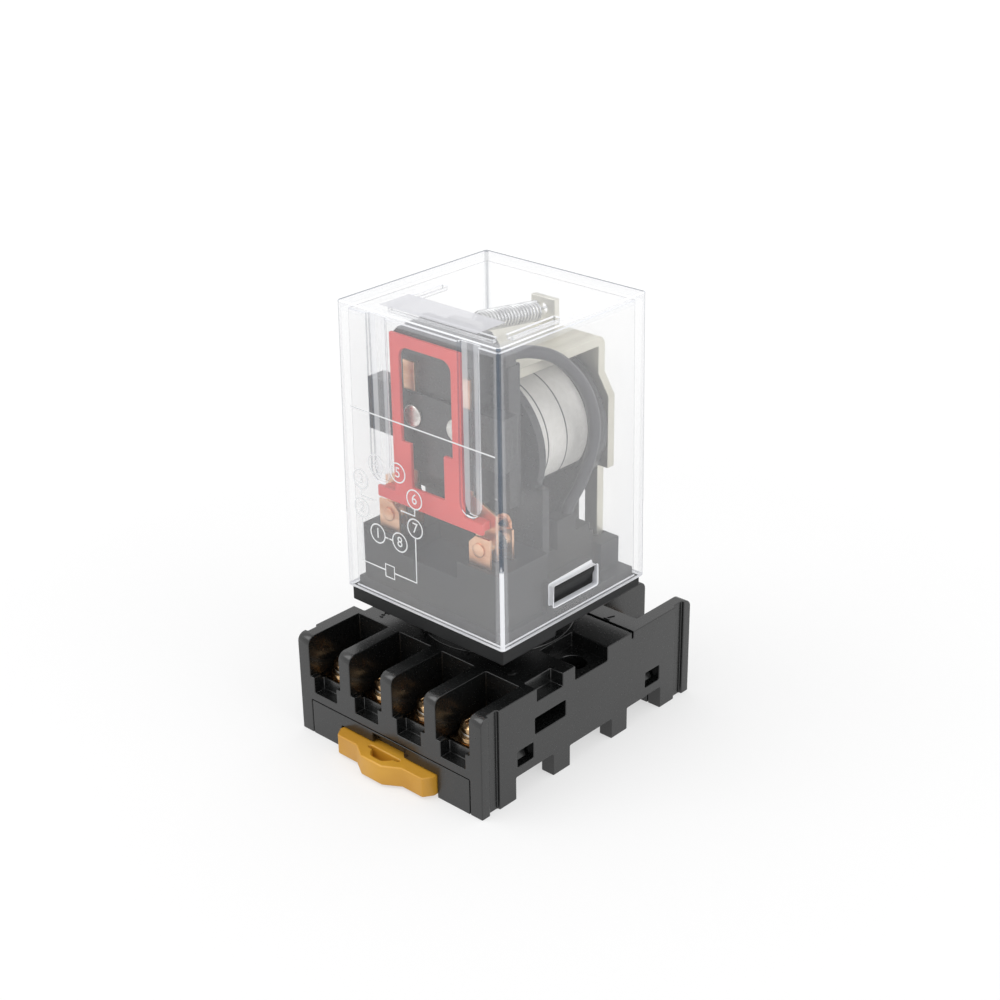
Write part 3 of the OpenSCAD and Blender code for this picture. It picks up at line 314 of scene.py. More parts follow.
inner = add(tree, "ShaderNodeMath", [(0, x), (1, y)], operation="MINIMUM").outputs[0]
outer = add(tree, "ShaderNodeMath", [(0, x), (1, y)], operation="MAXIMUM").outputs[0]
mask = {}
for name, value, low_mm, high_mm in (
    ("column", inner, 15.5, 16.0), ("side", outer, 15.3, 15.5), ("lid", z, 71.9, 72.1),
    ("far edge", far, 16.15, 16.35), ("crown", z, 73.3, 73.4),
):
    ramp = add(tree, "ShaderNodeMapRange", [
        ("Value", value), ("From Min", low_mm * MM), ("From Max", high_mm * MM)])
    mask[name] = ramp.outputs["Result"]
seam = add(tree, "ShaderNodeMath", [(0, mask["side"]), (1, mask["lid"])], operation="MULTIPLY").outputs[0]
# The white band is a painted highlight along the corner columns and the seam below the top.
highlight_band = add(tree, "ShaderNodeMath", [(0, mask["column"]), (1, seam)], operation="MAXIMUM").outputs[0]
# The grey line is painted refraction along the left and back edges of the top.
line = add(tree, "ShaderNodeMath", [
    (0, mask["far edge"]), (1, mask["crown"])], operation="MULTIPLY").outputs[0]
field = add(tree, "ShaderNodeMath", [(0, field), (1, mask["crown"])], operation="MULTIPLY").outputs[0]
print("dense places:", len(mask), "masks")

# %% [markdown]
# ## Density and tint of the walls
#
# The alpha is the haze or the painted highlight band, whichever is denser, with the painted refraction line
# and the field added to it. The tint is nearly white, so that white behind the wall stays white, and is laid
# over in the same order.

# %% Density and tint
dense = add(tree, "ShaderNodeMath", [(0, highlight_band), (1, HIGHLIGHT_BAND_ALPHA)], operation="MULTIPLY").outputs[0]
alpha = add(tree, "ShaderNodeMath", [(0, haze), (1, dense)], operation="MAXIMUM").outputs[0]
milky = add(tree, "ShaderNodeMapRange", [
    ("Value", slant), ("From Min", FIELD_SLANT[0]), ("From Max", FIELD_SLANT[1]),
    ("To Min", FIELD_ALPHA[0]), ("To Max", FIELD_ALPHA[1])]).outputs["Result"]
# The painted refraction line and the milky field add to the alpha.
for share, more in ((line, REFRACTION_LINE_ALPHA), (field, milky)):
    added = add(tree, "ShaderNodeMath", [(0, share), (1, more), (2, alpha)], operation="MULTIPLY_ADD")
    alpha = added.outputs[0]
tree.links.new(alpha, shader.inputs["Alpha"])
tint = two_tone(tree, flow, CLOUD, "#f9fafd", "#ffffff")
# White of the painted highlight band, grey of the painted refraction line, and grey of the field.
for share, code in ((highlight_band, "#f4f5f9"), (line, "#858a94"), (field, "#c8c8cd")):
    mix = add(tree, "ShaderNodeMix", [
        (0, share), (COLOUR_A, tint), (COLOUR_B, linear(code))], data_type="RGBA")
    tint = mix.outputs[COLOUR_OUT]
tree.links.new(tint, shader.inputs["Base Color"])
print(clear_plastic.name, "has", len(tree.nodes), "nodes")

# %% [markdown]
# ## Cut edges and ribs of the cover
#
# Light that runs inside a clear wall leaves it at a cut edge, which shines white. A guide rib is painted
# milky at its sides, as light leaves it there too, and clearer along its middle. One shader could tell them
# from the wall by their place, but each is a set of faces, so each simply has a finish of its own.

# %% Edges and ribs
EDGE_FLOW_MM, EDGE_ALPHA = 6, 0.9
RIB_X, RIB_CLEAR_HALF, RIB_DENSE_HALF = 9.6 * MM, 0.5 * MM, 0.8 * MM
RIB_ALPHA = (0.2, 0.5)


def lit_plastic(name):
    """Clear plastic where light leaves it, which is whiter and denser."""
    material, tree, shader, place = new_finish(name, Roughness=0.2, IOR=CLEAR_IOR, Alpha=EDGE_ALPHA)
    flow = add(tree, "ShaderNodeTexNoise", [
        ("Vector", place), ("Scale", per_mm(EDGE_FLOW_MM)), ("Detail", 2.0)])
    tint = two_tone(tree, flow.outputs["Fac"], CLOUD, "#eceef4", "#fafbfd")
    tree.links.new(tint, shader.inputs["Base Color"])
    return material, tree, shader, place


# Almost solid white.
clear_edge = lit_plastic("clear polycarbonate, cut edge")[0]
# Two milky lines of painted light at the rib's sides, with a clearer one between them.
clear_rib, tree, shader, place = lit_plastic("clear polycarbonate, thick rib")
x = add(tree, "ShaderNodeSeparateXYZ", [("Vector", place)]).outputs["X"]
x = add(tree, "ShaderNodeMath", [(0, x)], operation="ABSOLUTE").outputs[0]
aside = add(tree, "ShaderNodeMath", [(0, x), (1, RIB_X)], operation="SUBTRACT").outputs[0]
aside = add(tree, "ShaderNodeMath", [(0, aside)], operation="ABSOLUTE").outputs[0]
dense = add(tree, "ShaderNodeMapRange", [
    ("Value", aside), ("From Min", RIB_CLEAR_HALF), ("From Max", RIB_DENSE_HALF),
    ("To Min", RIB_ALPHA[0]), ("To Max", RIB_ALPHA[1])])
tree.links.new(dense.outputs["Result"], shader.inputs["Alpha"])
print("lit finishes:", clear_edge.name, "and", clear_rib.name)

# %% [markdown]
# ## Corners of the cover
#
# The rounded corners bend the view too strongly to see through. An upright one is a white line in front of
# the base and a thin blue-grey one above it, and the left and back edges of the top are blue-grey and dense.
# Refraction would need every wall to be real glass, so the refraction is painted instead, in a colour and an
# alpha that change with height.

# %% Corners
CORNER_TURN, CORNER_ALPHA = (37.9 * MM, 38.5 * MM), (0.9, 0.4)
CROWN_SPAN, CROWN_ALPHA = (73.0 * MM, 73.2 * MM), 0.85

# Glossy, with painted refraction: white low down and blue-grey above.
clear_corner, tree, shader, place = new_finish(
    "clear polycarbonate, rounded corner", Roughness=0.12, IOR=CLEAR_IOR)
height = add(tree, "ShaderNodeSeparateXYZ", [("Vector", place)]).outputs["Z"]
tint = two_tone(tree, height, CORNER_TURN, "#f4f5f9", "#747f8d")
tree.links.new(tint, shader.inputs["Base Color"])
thin = add(tree, "ShaderNodeMapRange", [
    ("Value", height), ("From Min", CORNER_TURN[0]), ("From Max", CORNER_TURN[1]),
    ("To Min", CORNER_ALPHA[0]), ("To Max", CORNER_ALPHA[1])])
crown = add(tree, "ShaderNodeMapRange", [
    ("Value", height), ("From Min", CROWN_SPAN[0]), ("From Max", CROWN_SPAN[1]), ("To Max", CROWN_ALPHA)])
thick = add(tree, "ShaderNodeMath", [
    (0, thin.outputs["Result"]), (1, crown.outputs["Result"])], operation="MAXIMUM")
tree.links.new(thick.outputs[0], shader.inputs["Alpha"])
print("cover finishes:", [m.name for m in (clear_plastic, clear_edge, clear_rib, clear_corner)])

# %% [markdown]
# ## The coil's label
#
# The label is matt paper wound round the coil, with two thin printed rings. They could be strips of mesh, but
# ink has no height, so they are drawn where the place along the coil is near that of a ring.

# %% Label
LABEL_RINGS = (1.8 * MM, 6.2 * MM)
RING_WIDTH = 0.28 * MM
FIBRE_MM = 0.8  # clumps of fibre, because a single one is too fine to show

# Flat and warm white, with no gloss.
label_paper, tree, shader, place = new_finish("matt label paper", Roughness=0.7, IOR=1.45)
lengthways = add(tree, "ShaderNodeSeparateXYZ", [("Vector", place)]).outputs["Y"]
ink = 0.0
for ring in LABEL_RINGS:
    near = add(tree, "ShaderNodeMath", [(0, lengthways), (1, ring), (2, RING_WIDTH / 2)], operation="COMPARE")
    ink = add(tree, "ShaderNodeMath", [(0, ink), (1, near.outputs[0])], operation="MAXIMUM").outputs[0]
fibre = add(tree, "ShaderNodeTexNoise", [("Vector", place), ("Scale", per_mm(FIBRE_MM)), ("Detail", 4.0)])
paper = two_tone(tree, fibre.outputs["Fac"], CLOUD, "#dbd9d4", "#e8e6e2")
printed = add(tree, "ShaderNodeMix", [
    (0, ink), (COLOUR_A, paper), (COLOUR_B, linear("#3c3c3e"))], data_type="RGBA")
tree.links.new(printed.outputs[COLOUR_OUT], shader.inputs["Base Color"])
print(label_paper.name, "with", len(LABEL_RINGS), "rings")

# %% [markdown]
# ## Edges
#
# CAD solids have edges of no width, and nothing moulded or stamped does: a small radius catches the light
# and draws the shape. A copy of each solid has its loose triangles merged and its flat faces joined, and a
# bevel then rounds what is left. Normals weighted by face size keep the flat faces flat. The copy stands for
# the solid, and rides on the same body.

# %% How a solid is softened
MERGE_WITHIN = 0.004 * MM
FLAT_WITHIN, SHARP_FROM, SMOOTH_UP_TO = (math.radians(a) for a in (0.5, 40, 35))
BODY_OF = {node: body for body, members in frame["record"]["behaviour"]["bodies"].items() for node in members}


def only(piece):
    """Selects one object and nothing else."""
    bpy.ops.object.select_all(action="DESELECT")
    piece.select_set(True)
    bpy.context.view_layer.objects.active = piece


def soften(node, edge_mm, material, rim=None):
    """Copy of a CAD node with rounded edges, riding where the node rides; rim is a finish for the edges."""
    piece = nodes[node].copy()
    piece.data = nodes[node].data.copy()
    piece.name = node + "_soft"
    piece.parent = None
    piece.data.materials.clear()
    piece.data.materials.append(material)
    bpy.context.collection.objects.link(piece)
    only(piece)
    bpy.ops.object.mode_set(mode="EDIT")
    bpy.ops.mesh.select_all(action="SELECT")
    bpy.ops.mesh.remove_doubles(threshold=MERGE_WITHIN)
    bpy.ops.mesh.dissolve_limited(angle_limit=FLAT_WITHIN)
    bpy.ops.object.mode_set(mode="OBJECT")
    bevel = piece.modifiers.new("edge", "BEVEL")
    bevel.width = edge_mm * MM
    bevel.segments = 2
    bevel.limit_method = "ANGLE"
    bevel.angle_limit = SHARP_FROM
    bevel.use_clamp_overlap = False
    bevel.miter_outer = "MITER_ARC"
    if rim:
        piece.data.materials.append(rim)
        bevel.material = 1
    bpy.ops.object.modifier_apply(modifier="edge")
    bpy.ops.object.shade_smooth_by_angle(angle=SMOOTH_UP_TO)
    flat = piece.modifiers.new("flat", "WEIGHTED_NORMAL")
    flat.keep_sharp = True
    bpy.ops.object.modifier_apply(modifier="flat")
    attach(piece, BODY_OF[node])
    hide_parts(node)
    return piece


print("bodies to ride on:", sorted(set(BODY_OF.values())))

# %% [markdown]
# ## Softened pieces
#
# A clip that is handled has a wide round edge, and a blade cut from thin strip a narrow one. Each width could
# be a modifier left live, but an applied bevel exports as it is, so a table gives the widths once, in
# millimetres, with the finishes.

# %% Softened copies
for name, edge_mm, material in (
    ("socket_body", 0.16, black_plastic), ("base_plate", 0.12, black_plastic),
    ("din_clip", 0.25, amber_plastic), ("relay_base", 0.15, base_plastic),
    ("armature_carrier", 0.2, carrier_plastic), ("contact_card", 0.18, red_plastic),
    ("bobbin", 0.15, carrier_plastic), ("yoke", 0.18, yellow_zinc), ("armature", 0.15, zinc),
    ("core", 0.15, zinc), ("card_rivets", 0.25, silver),
    ("moving_contact_left", 0.08, copper), ("moving_contact_right", 0.08, copper),
    ("nc_contact_left", 0.08, copper), ("nc_contact_right", 0.08, copper),
    ("no_contact_left", 0.08, copper), ("no_contact_right", 0.08, copper),
    ("clamp_plates", 0.12, brass), ("spring_washers", 0.1, zinc),
    *((f"terminal_screw_{number}", 0.12, brass) for number in range(1, 9)),
):
    made = soften(name, edge_mm, material)
    print(made.name, len(made.data.polygons), "faces")

# %% [markdown]
# ## Pieces that stay as they are
#
# Round pieces and those deep inside could be softened too, but nothing of that would show. They keep the
# mesh from CAD and only get a finish.

# %% Painted pieces
painted = [
    ("winding", copper_wire), ("coil_tape", black_tape), ("coil_label", label_paper), ("fixed_tips", silver),
    ("moving_tips", silver), ("coil_lead_left", copper_wire), ("coil_lead_right", copper_wire)]
painted += [(f"terminal_contact_{number}", brass) for number in range(1, 9)]
painted += [(f"pin_{number}", zinc) for number in range(1, 9)]
for name, material in painted:
    nodes[name].data.materials.clear()
    nodes[name].data.materials.append(material)
print("painted pieces:", len(painted))

# %% [markdown]
# ## The cover
#
# The cover is softened like the rest, and its rounded edges take the white finish. So do the sides of its
# latch windows and the rim that it stands on, because there the light leaves the wall. Corners and ribs are
# picked by the way their faces look and where they lie.

# %% Cover
EDGE_SLOT, RIB_SLOT, CORNER_SLOT = 1, 2, 3
WALL_X, WINDOW_Y, WINDOW_Z, RIM_Z = 15.9, 5.5, (27.3, 31.5), 25.0
RIB_Y, TOP_RIB_Z, TOP_Z = (-15.5, -14.8), (71.0, 71.6), 73.0
SQUARE, HALFWAY, LEANING, TILTED = 0.9, 0.5, 0.3, 0.2  # parts of a unit normal
COVER_EDGE = 0.2

cover = soften("cover", COVER_EDGE, clear_plastic, clear_edge)
cover.data.materials.append(clear_rib)
cover.data.materials.append(clear_corner)
for face in cover.data.polygons:
    turn = face.normal
    x, y, z = face.center / MM
    beside_window = abs(y) < WINDOW_Y and WINDOW_Z[0] < z < WINDOW_Z[1]
    window = beside_window and abs(x) > WALL_X and abs(turn.x) < HALFWAY
    rim = turn.z < -SQUARE and z < RIM_Z
    corner = abs(turn.x) > LEANING and abs(turn.y) > LEANING
    # Far edges of the top take the painted refraction of the corner finish.
    far_edge = z > TOP_Z and turn.z > TILTED and (turn.x < -TILTED or turn.y > TILTED)
    rib = RIB_Y[0] < y < RIB_Y[1] and turn.y > SQUARE
    top_rib = TOP_RIB_Z[0] < z < TOP_RIB_Z[1] and turn.z < -SQUARE
    if window or rim:
        face.material_index = EDGE_SLOT
    elif corner or far_edge:
        face.material_index = CORNER_SLOT
    elif rib or top_rib:
        face.material_index = RIB_SLOT
finishes = [face.material_index for face in cover.data.polygons]
for word, slot in (("edges", EDGE_SLOT), ("ribs", RIB_SLOT), ("corners", CORNER_SLOT)):
    print("cover faces of", word, finishes.count(slot))

# %% [markdown]
# ## The return spring
#
# A tension spring pulls the armature's tail towards an ear on the yoke. A wire is easiest as a curve with a
# round section, made a mesh at the end, and a loop works out the turns of its helix. Its two ends belong to
# different bodies.

# %% Return spring
SPRING_FRONT, SPRING_REAR = Vector((0, -3.23, 70.17)), Vector((0, 10.12, 68.4))
SPRING_RADIUS, SPRING_WIRE, SPRING_TURNS, TURN_STEPS = 1.475, 0.225, 18, 22
WIRE_SMOOTH = math.radians(50)
FRONT_HOOK = [(0, -6.0, 70.1), (0, -4.8, 70.1), (0, -4.0, 70.5), (0, -3.55, 71.2)]
REAR_HOOK = [
    (0, 10.5, 69.5), (0, 11.0, 68.7), (0, 11.6, 68.4), (0, 13.0, 68.4), (0, 13.3, 68.2), (0, 13.4, 67.6)]


def wire(name, lines, radius_mm, material, sides=3, smooth=False):
    """Mesh of round wires through lists of points in millimetres; smooth ones round their corners."""
    bpy.ops.object.select_all(action="DESELECT")
    bpy.ops.curve.primitive_nurbs_path_add()
    made = bpy.context.object
    made.name = name
    curve = made.data
    curve.splines.clear()
    for line in lines:
        spline = curve.splines.new("NURBS" if smooth else "POLY")
        spline.points.add(len(line) - 1)
        for point, place in zip(spline.points, line):
            point.co = (*(Vector(place) * MM), 1)
        spline.use_endpoint_u = True
        spline.order_u = 4
    curve.dimensions = "3D"
    curve.bevel_depth = radius_mm * MM
    curve.bevel_resolution = sides
    curve.use_fill_caps = True
    bpy.ops.object.convert(target="MESH")
    bpy.ops.object.shade_smooth_by_angle(angle=WIRE_SMOOTH)
    made.data.materials.append(material)
    return made


axis = (SPRING_REAR - SPRING_FRONT).normalized()
up = Vector((1, 0, 0)).cross(axis)
helix = []
for i in range(SPRING_TURNS * TURN_STEPS + 1):
    turn = 2 * math.pi * i / TURN_STEPS
    helix.append(SPRING_FRONT.lerp(SPRING_REAR, i / (SPRING_TURNS * TURN_STEPS))
                 + SPRING_RADIUS * (Vector((math.sin(turn), 0, 0)) + up * math.cos(turn)))
spring = wire("return_spring_coil", [FRONT_HOOK + helix + REAR_HOOK], SPRING_WIRE, bright_steel)
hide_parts("return_spring")
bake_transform(spring)
print(spring.name, SPRING_TURNS, "turns,", len(spring.data.polygons), "faces")

# %% [markdown]
# ## The braids
#
# A braid of fine copper wire feeds each moving contact, and is limp so that it doesn't hinder the swing. A
# textured tube would do from afar, but these are seen close up, so each is a bundle of strands that twist
# round one route, with a straight one in the middle.

# %% Braids
BRAID_X = 9.8
BRAID_ROUTE = [
    (-11.35, 41.3), (-11.0, 41.95), (-10.3, 42.35), (-9.5, 42.5), (-8.7, 42.35), (-8.05, 41.85),
    (-7.65, 41.0), (-7.5, 39.8), (-7.5, 38.4), (-7.55, 37.0), (-7.55, 36.05)]
BRAID_FIXED, BRAID_MOVING = (-7.55, 37), (-11.2, 41.8)
STRANDS, STRAND_RADIUS, BUNDLE_RADIUS = 6, 0.19, 0.4
TWIST_TURNS, STRAND_STEPS = 2.2, 60


def along(route, steps):
    """Points spread evenly over a route of (y, z) with their direction."""
    corners = [Vector(p) for p in route]
    lengths = [(b - a).length for a, b in zip(corners, corners[1:])]
    for i in range(steps + 1):
        left = sum(lengths) * i / steps
        for a, b, size in zip(corners, corners[1:], lengths):
            if left <= size or b is corners[-1]:
                yield a.lerp(b, min(left / size, 1)), (b - a).normalized()
                break
            left -= size


for side, word in ((-1, "left"), (1, "right")):
    strands = [[(side * BRAID_X, *corner) for corner in BRAID_ROUTE]]
    for k in range(STRANDS):
        strand = []
        for i, (middle, heading) in enumerate(along(BRAID_ROUTE, STRAND_STEPS)):
            angle = 2 * math.pi * (k / STRANDS + TWIST_TURNS * side * i / STRAND_STEPS)
            across = Vector((-heading.y, heading.x)) * math.cos(angle) * BUNDLE_RADIUS
            strand.append((side * BRAID_X + BUNDLE_RADIUS * math.sin(angle), *(middle + across)))
        strands.append(strand)
    braid = wire(f"braid_{word}_strands", strands, STRAND_RADIUS, copper_wire, 2)
    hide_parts(f"braid_{word}")
    fixed, moving = (Vector((side * BRAID_X, *end)) * MM for end in (BRAID_FIXED, BRAID_MOVING))
    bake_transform(braid)
    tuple(fixed)
    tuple(moving)
    print(braid.name, len(braid.data.polygons), "faces")

# %% [markdown]
# ## The black leads
#
# An insulated lead arches from each side of the carrier down to the base. It could be a bent cylinder, but a
# smooth curve along a short list of points gives the easy bend of a soft sleeve.

# %% Leads
LEAD_ROUTE = [
    (9.6, -6.18, 68.1), (9.6, -5.63, 68.1), (10.4, -4.53, 68.2), (11.4, -3.13, 68.0), (12.2, -1.63, 67.5),
    (12.7, 0.07, 66.6), (13.0, 1.87, 65.2), (13.3, 4.12, 62.8), (13.3, 6.22, 60.3), (13.3, 7.82, 57.3),
    (13.3, 8.92, 53.5), (13.0, 9.12, 50.1), (12.7, 8.32, 46.9), (12.2, 7.02, 43.3), (11.4, 5.3, 40.4),
    (11.1, 4.9, 39.3), (11.1, 4.9, 38.65)]
LEAD_RADIUS = 1.0
for side, word in ((-1, "left"), (1, "right")):
    route = [(side * x, y, z) for x, y, z in LEAD_ROUTE]
    lead = wire(f"lead_{word}_sleeve", [route], LEAD_RADIUS, black_sleeve, 4, smooth=True)
    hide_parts(f"lead_{word}")
    Vector(route[-4]) * MM
    Vector(route[0]) * MM
    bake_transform(lead)
    print(lead.name, len(lead.data.polygons), "faces")

# %% [markdown]
# ## Handling new pieces
#
# The pieces still to come are small and made one by one. Three helpers do what the hand does in the editor:
# they pick the faces on top, move a piece so that its place ends up in its mesh, and join several pieces
# into one, so that a set of equal pieces is a single object.

# %% Helpers for new pieces
def select_top(piece):
    """Selects the faces that look up, in edit mode."""
    bpy.ops.object.mode_set(mode="EDIT")
    bpy.ops.mesh.select_all(action="DESELECT")
    bpy.ops.object.mode_set(mode="OBJECT")
    for face in piece.data.polygons:
        face.select = face.normal.z > SQUARE
    bpy.ops.object.mode_set(mode="EDIT")


def settle(made, place, turn=(0, 0, 0)):
    """Moves and turns a piece, and leaves its place in its mesh."""
    made.location = Vector(place) * MM
    made.rotation_euler = [math.radians(a) for a in turn]
    only(made)
    bpy.ops.object.transform_apply(location=True, rotation=True, scale=True)


def join(made, name):
    """One object of several."""
    bpy.ops.object.select_all(action="DESELECT")
    for piece in made:
        piece.select_set(True)
    bpy.context.view_layer.objects.active = made[0]
    bpy.ops.object.join()
    made[0].name = name
    return made[0]


# %% [markdown]
# ## Rivet heads on the front contacts
#
# Each fixed contact is riveted through a copper strip: its silver tip is on the side of the blade, and its
# closed head, as coppery as the strip, shows in front. A head could be part of a sphere, but it is low and
# flat, so it is a disc whose top is inset and raised, with its edges rounded.

# %% Rivet heads
HEAD_X, HEAD_Y, HEAD_Z = 9.8, -14.22, 38.6
HEAD_RADIUS, HEAD_HEIGHT, HEAD_RIM, HEAD_EDGE = 1.15, 0.3, 0.35, 0.08
HEAD_SIDES = 40

heads = []
for side in (-1, 1):
    bpy.ops.object.select_all(action="DESELECT")
    bpy.ops.mesh.primitive_cylinder_add(
        vertices=HEAD_SIDES, radius=HEAD_RADIUS * MM, depth=HEAD_HEIGHT * MM)
    head = bpy.context.object
    select_top(head)
    bpy.ops.mesh.inset(thickness=HEAD_RIM * MM)
    bpy.ops.transform.translate(value=(0, 0, HEAD_HEIGHT / 2 * MM))
    bpy.ops.object.mode_set(mode="OBJECT")
    rounded = head.modifiers.new("rounded", "BEVEL")
    rounded.width = HEAD_EDGE * MM
    rounded.segments = 2
    bpy.ops.object.modifier_apply(modifier="rounded")
    bpy.ops.object.shade_smooth_by_angle(angle=SHARP_FROM)
    head.data.materials.append(copper)
    settle(head, (side * HEAD_X, HEAD_Y - HEAD_HEIGHT / 2, HEAD_Z), (90, 0, 0))
    heads.append(head)
rivet_heads = join(heads, "contact_rivet_heads")
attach(rivet_heads, "relay")
print("rivet heads:", len(rivet_heads.data.polygons), "faces")

# %% [markdown]
# ## Numerals
#
# Terminal numbers stand in relief on the deck, read from the far end. They are moulded with the socket, so
# they have its finish. A digit could be modelled stroke by stroke, but a text object has the shape ready. It
# is made a mesh before it is put in its place.

# %% Numerals
DECK_Z, PITCH = 17.85, 9.6
NUMERAL_ROWS = ((-12.0, (3, 4, 5, 6)), (12.0, (2, 1, 8, 7)))
NUMERAL_SIZE, NUMERAL_RELIEF = 2.6, 0.3


def numeral(word, size_mm, relief_mm):
    """One character as a mesh, half sunk in the ground plane and centred."""
    bpy.ops.object.select_all(action="DESELECT")
    bpy.ops.object.text_add()
    made = bpy.context.object
    made.data.body = str(word)
    made.data.size = size_mm * MM
    made.data.extrude = relief_mm * MM / 2
    made.data.align_x = "CENTER"
    made.data.align_y = "CENTER"
    bpy.ops.object.convert(target="MESH")
    return made


digits = []
for y, row in NUMERAL_ROWS:
    for column, word in enumerate(row):
        digit = numeral(word, NUMERAL_SIZE, NUMERAL_RELIEF)
        settle(digit, ((column - (len(row) - 1) / 2) * PITCH, y, DECK_Z), (0, 0, 180))
        digits.append(digit)
numerals = join(digits, "terminal_numerals")
numerals.data.materials.append(black_plastic)
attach(numerals, "socket")
print("numerals:", len(numerals.data.polygons), "faces")

# %% [markdown]
# ## White ink
#
# Screen ink is a film on the wall, printed through a fine mesh that leaves it slightly uneven. Its lines
# could be drawn by the cover's own finish, but as pieces they keep sharp ends, so they are thin round wires
# pressed flat.

# %% White ink
INK_MM = 0.4  # the printing mesh is finer, too fine to show
INK_RADIUS, INK_FLAT = 0.14, 0.1

# White and matt, slightly uneven as screen ink is.
white_ink, tree, shader, place = new_finish("white screen ink", Roughness=0.6, IOR=1.5)
mottle = add(tree, "ShaderNodeTexNoise", [("Vector", place), ("Scale", per_mm(INK_MM)), ("Detail", 2.0)])
tone = two_tone(tree, mottle.outputs["Fac"], CLOUD, "#dcdddf", "#e9eaeb")
tree.links.new(tone, shader.inputs["Base Color"])


def ink_lines(lines):
    """Lines of (x, z) in millimetres, pressed flat against the plane y = 0."""
    made = wire("ink", [[(x, 0, z) for x, z in line] for line in lines], INK_RADIUS, white_ink, 1)
    only(made)
    bpy.ops.object.mode_set(mode="EDIT")
    bpy.ops.mesh.select_all(action="SELECT")
    bpy.ops.transform.resize(value=(1, INK_FLAT, 1), center_override=(0, 0, 0))
    bpy.ops.object.mode_set(mode="OBJECT")
    return made


print(white_ink.name, "lines", 2 * INK_RADIUS, "mm wide")

# %% [markdown]
# ## Print on the cover
#
# The cover's front carries a plain white print: a rule, and the usual diagram of a round plug with its pin
# numbers and coil. It is drawn upright in the plane y = 0, where it is easy to lay out, and then moved onto
# the wall, which leans back a little for the mould's draft.

# %% Print on the cover
FACE_Y, FACE_Z, DRAFT, FILM = -17.25, 24.65, math.radians(0.5), 0.02
RULE = [(-14.6, 56.7), (16.0, 56.7)]
DIAL_X, DIAL_Z, DIAL_RADIUS, PIN_RING = -7.0, 42.3, 6.45, 1.6
PINS, BEFORE_FIRST_PIN, RING_STEPS = 8, math.radians(-67.5), 32
PIN_SIZE, PIN_RELIEF = 2.5, 0.03
FEED_X, FEED_TOP, COIL_Z, COIL_HALF_X, COIL_HALF_Z = 6.0, 38.2, 30.4, 1.0, 1.1
ARM_TOP, ARM_Z, ARM_END = 43.1, 42.0, 2.9
LINK_Z, LINK_FROM, LINK_TO = 36.2, 0.9, 0.1

lines = [RULE]
print_pieces = []
for pin in range(1, PINS + 1):
    angle = BEFORE_FIRST_PIN - 2 * math.pi * pin / PINS
    x, z = DIAL_X + DIAL_RADIUS * math.cos(angle), DIAL_Z + DIAL_RADIUS * math.sin(angle)
    turns = [2 * math.pi * k / RING_STEPS for k in range(RING_STEPS + 1)]
    lines.append([(x + PIN_RING * math.cos(t), z + PIN_RING * math.sin(t)) for t in turns])
    digit = numeral(pin, PIN_SIZE, PIN_RELIEF)
    settle(digit, (x, 0, z), (90, 0, 0))
    digit.data.materials.append(white_ink)
    print_pieces.append(digit)
for side in (-1, 1):
    feed = DIAL_X + side * FEED_X
    lines.append([(feed, FEED_TOP), (feed, COIL_Z), (DIAL_X + side * COIL_HALF_X, COIL_Z)])
    lines.append([(feed, ARM_TOP), (feed, ARM_Z), (DIAL_X + side * ARM_END, ARM_Z)])
    lines.append([(DIAL_X + side * LINK_FROM, LINK_Z), (DIAL_X + side * LINK_TO, LINK_Z)])
lines.append([
    (DIAL_X + across * COIL_HALF_X, COIL_Z + up * COIL_HALF_Z)
    for across, up in ((-1, -1), (1, -1), (1, 1), (-1, 1), (-1, -1))])
cover_print = join(print_pieces + [ink_lines(lines)], "cover_print")
for vertex in cover_print.data.vertices:
    vertex.co.y += (FACE_Y - FILM) * MM + (vertex.co.z - FACE_Z * MM) * math.tan(DRAFT)
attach(cover_print, "relay")
print("print:", len(cover_print.data.polygons), "faces")

# %% [markdown]
# ## The floor
#
# The object stands on a white paper sweep. A white floor alone would come out grey, and a brighter one would
# lose the shadow, so the paper is grey enough to take a shadow and glows a little, more so away from the
# object. The glow is weaker for the light that it throws back.

# %% Floor
FLOOR_SIZE = 6
GLOW_NEAR_AT, GLOW_FAR_AT = 0.1, 0.7
GLOW_NEAR, GLOW_FAR, GLOW_THROWN = 0.58, 0.75, 0.6


def seen_directly(tree):
    """1 for rays that end in the picture, straight, mirrored or through the cover, and 0 for other light."""
    rays = add(tree, "ShaderNodeLightPath").outputs
    seen = rays["Is Camera Ray"]
    for kind in ("Is Glossy Ray", "Is Transmission Ray"):
        seen = add(tree, "ShaderNodeMath", [(0, seen), (1, rays[kind])], operation="MAXIMUM").outputs[0]
    return seen


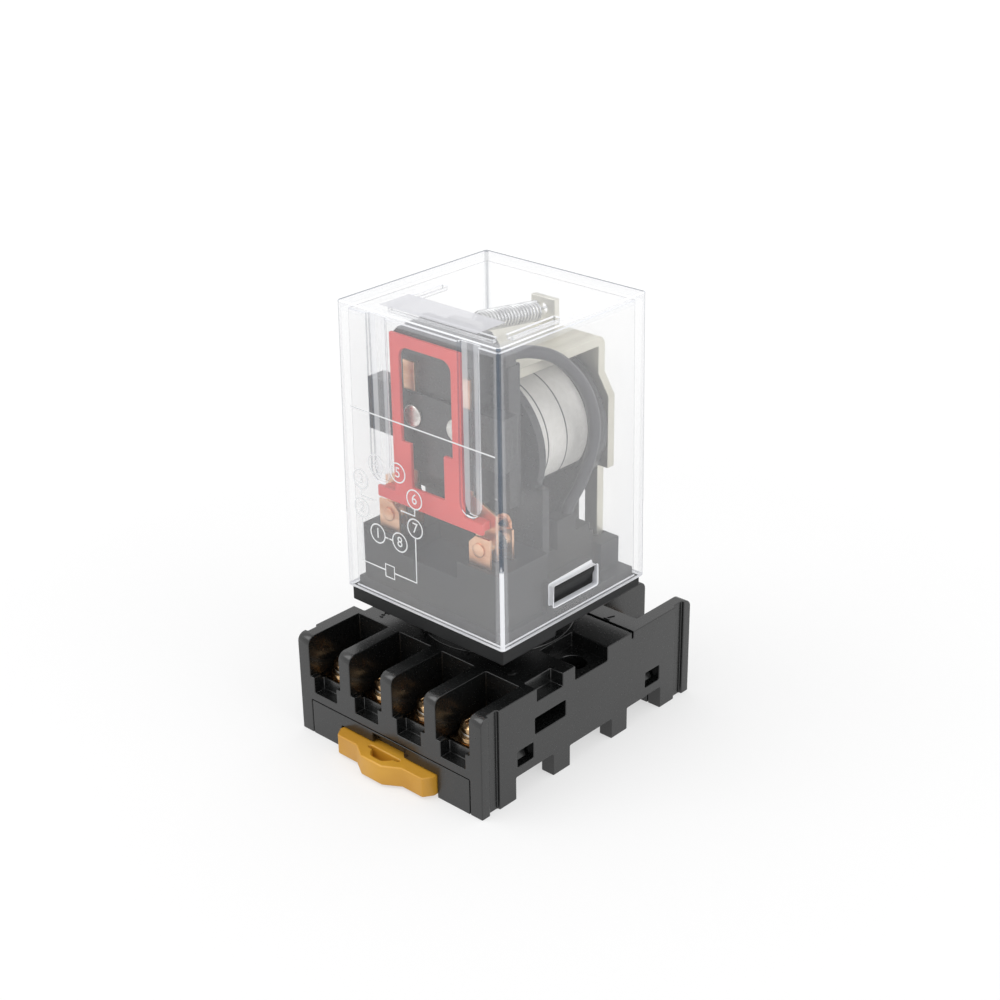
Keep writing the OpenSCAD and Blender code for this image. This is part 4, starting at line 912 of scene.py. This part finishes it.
bpy.ops.object.select_all(action="DESELECT")
bpy.ops.mesh.primitive_plane_add(size=FLOOR_SIZE)
floor = bpy.context.object
floor.name = "floor"
white_floor, tree, shader, place = new_finish(
    "white paper sweep", Roughness=0.9, Base_Color=linear("#9a9a9a"))
away = add(tree, "ShaderNodeVectorMath", [(0, place)], operation="LENGTH").outputs["Value"]
lift = add(tree, "ShaderNodeMapRange", [
    ("Value", away), ("From Min", GLOW_NEAR_AT), ("From Max", GLOW_FAR_AT),
    ("To Min", GLOW_NEAR), ("To Max", GLOW_FAR)])
share = add(tree, "ShaderNodeMapRange", [
    ("Value", seen_directly(tree)), ("To Min", GLOW_THROWN), ("To Max", 1.0)])
lift = add(tree, "ShaderNodeMath", [
    (0, lift.outputs["Result"]), (1, share.outputs["Result"])], operation="MULTIPLY")
glow = add(tree, "ShaderNodeEmission", [("Color", (1, 1, 1, 1)), ("Strength", lift.outputs[0])])
both = add(tree, "ShaderNodeAddShader", [(0, shader.outputs["BSDF"]), (1, glow.outputs["Emission"])])
tree.links.new(both.outputs["Shader"], tree.nodes["Material Output"].inputs["Surface"])
floor.data.materials.append(white_floor)
print(floor.name, FLOOR_SIZE, "m wide")

# %% [markdown]
# ## The light
#
# A small dark object shows best in soft light from all around, so a white world does most of the work. Two
# large lamps, one high at the left front and one at the right, give the faces different greys. The view
# transform is the plain one, which keeps white paper white.

# %% Light
WORLD_LIGHT = 0.95

world = bpy.data.worlds.new("studio")
scene.world = world
world.use_nodes = True
tree = world.node_tree
level = add(tree, "ShaderNodeMapRange", [
    ("Value", seen_directly(tree)), ("To Min", WORLD_LIGHT), ("To Max", 1.0)])
tree.links.new(level.outputs["Result"], tree.nodes["Background"].inputs["Strength"])
tree.nodes["Background"].inputs["Color"].default_value = (1, 1, 1, 1)


def lamp(name, place, size, watts):
    """A square area lamp that points at the middle of the object."""
    bpy.ops.object.light_add(type="AREA", location=place)
    made = bpy.context.object
    made.name = name
    made.data.size = size
    made.data.energy = watts
    made.rotation_mode = "QUATERNION"
    made.rotation_quaternion = (LOOK_AT - Vector(place)).to_track_quat("-Z", "Y")
    print("lamp", name, watts, "W")


lamp("key", place=(-0.25, -0.35, 0.6), size=0.5, watts=1.6)
lamp("side", place=(0.6, 0.1, 0.35), size=0.5, watts=1.2)
scene.view_settings.view_transform = "Standard"
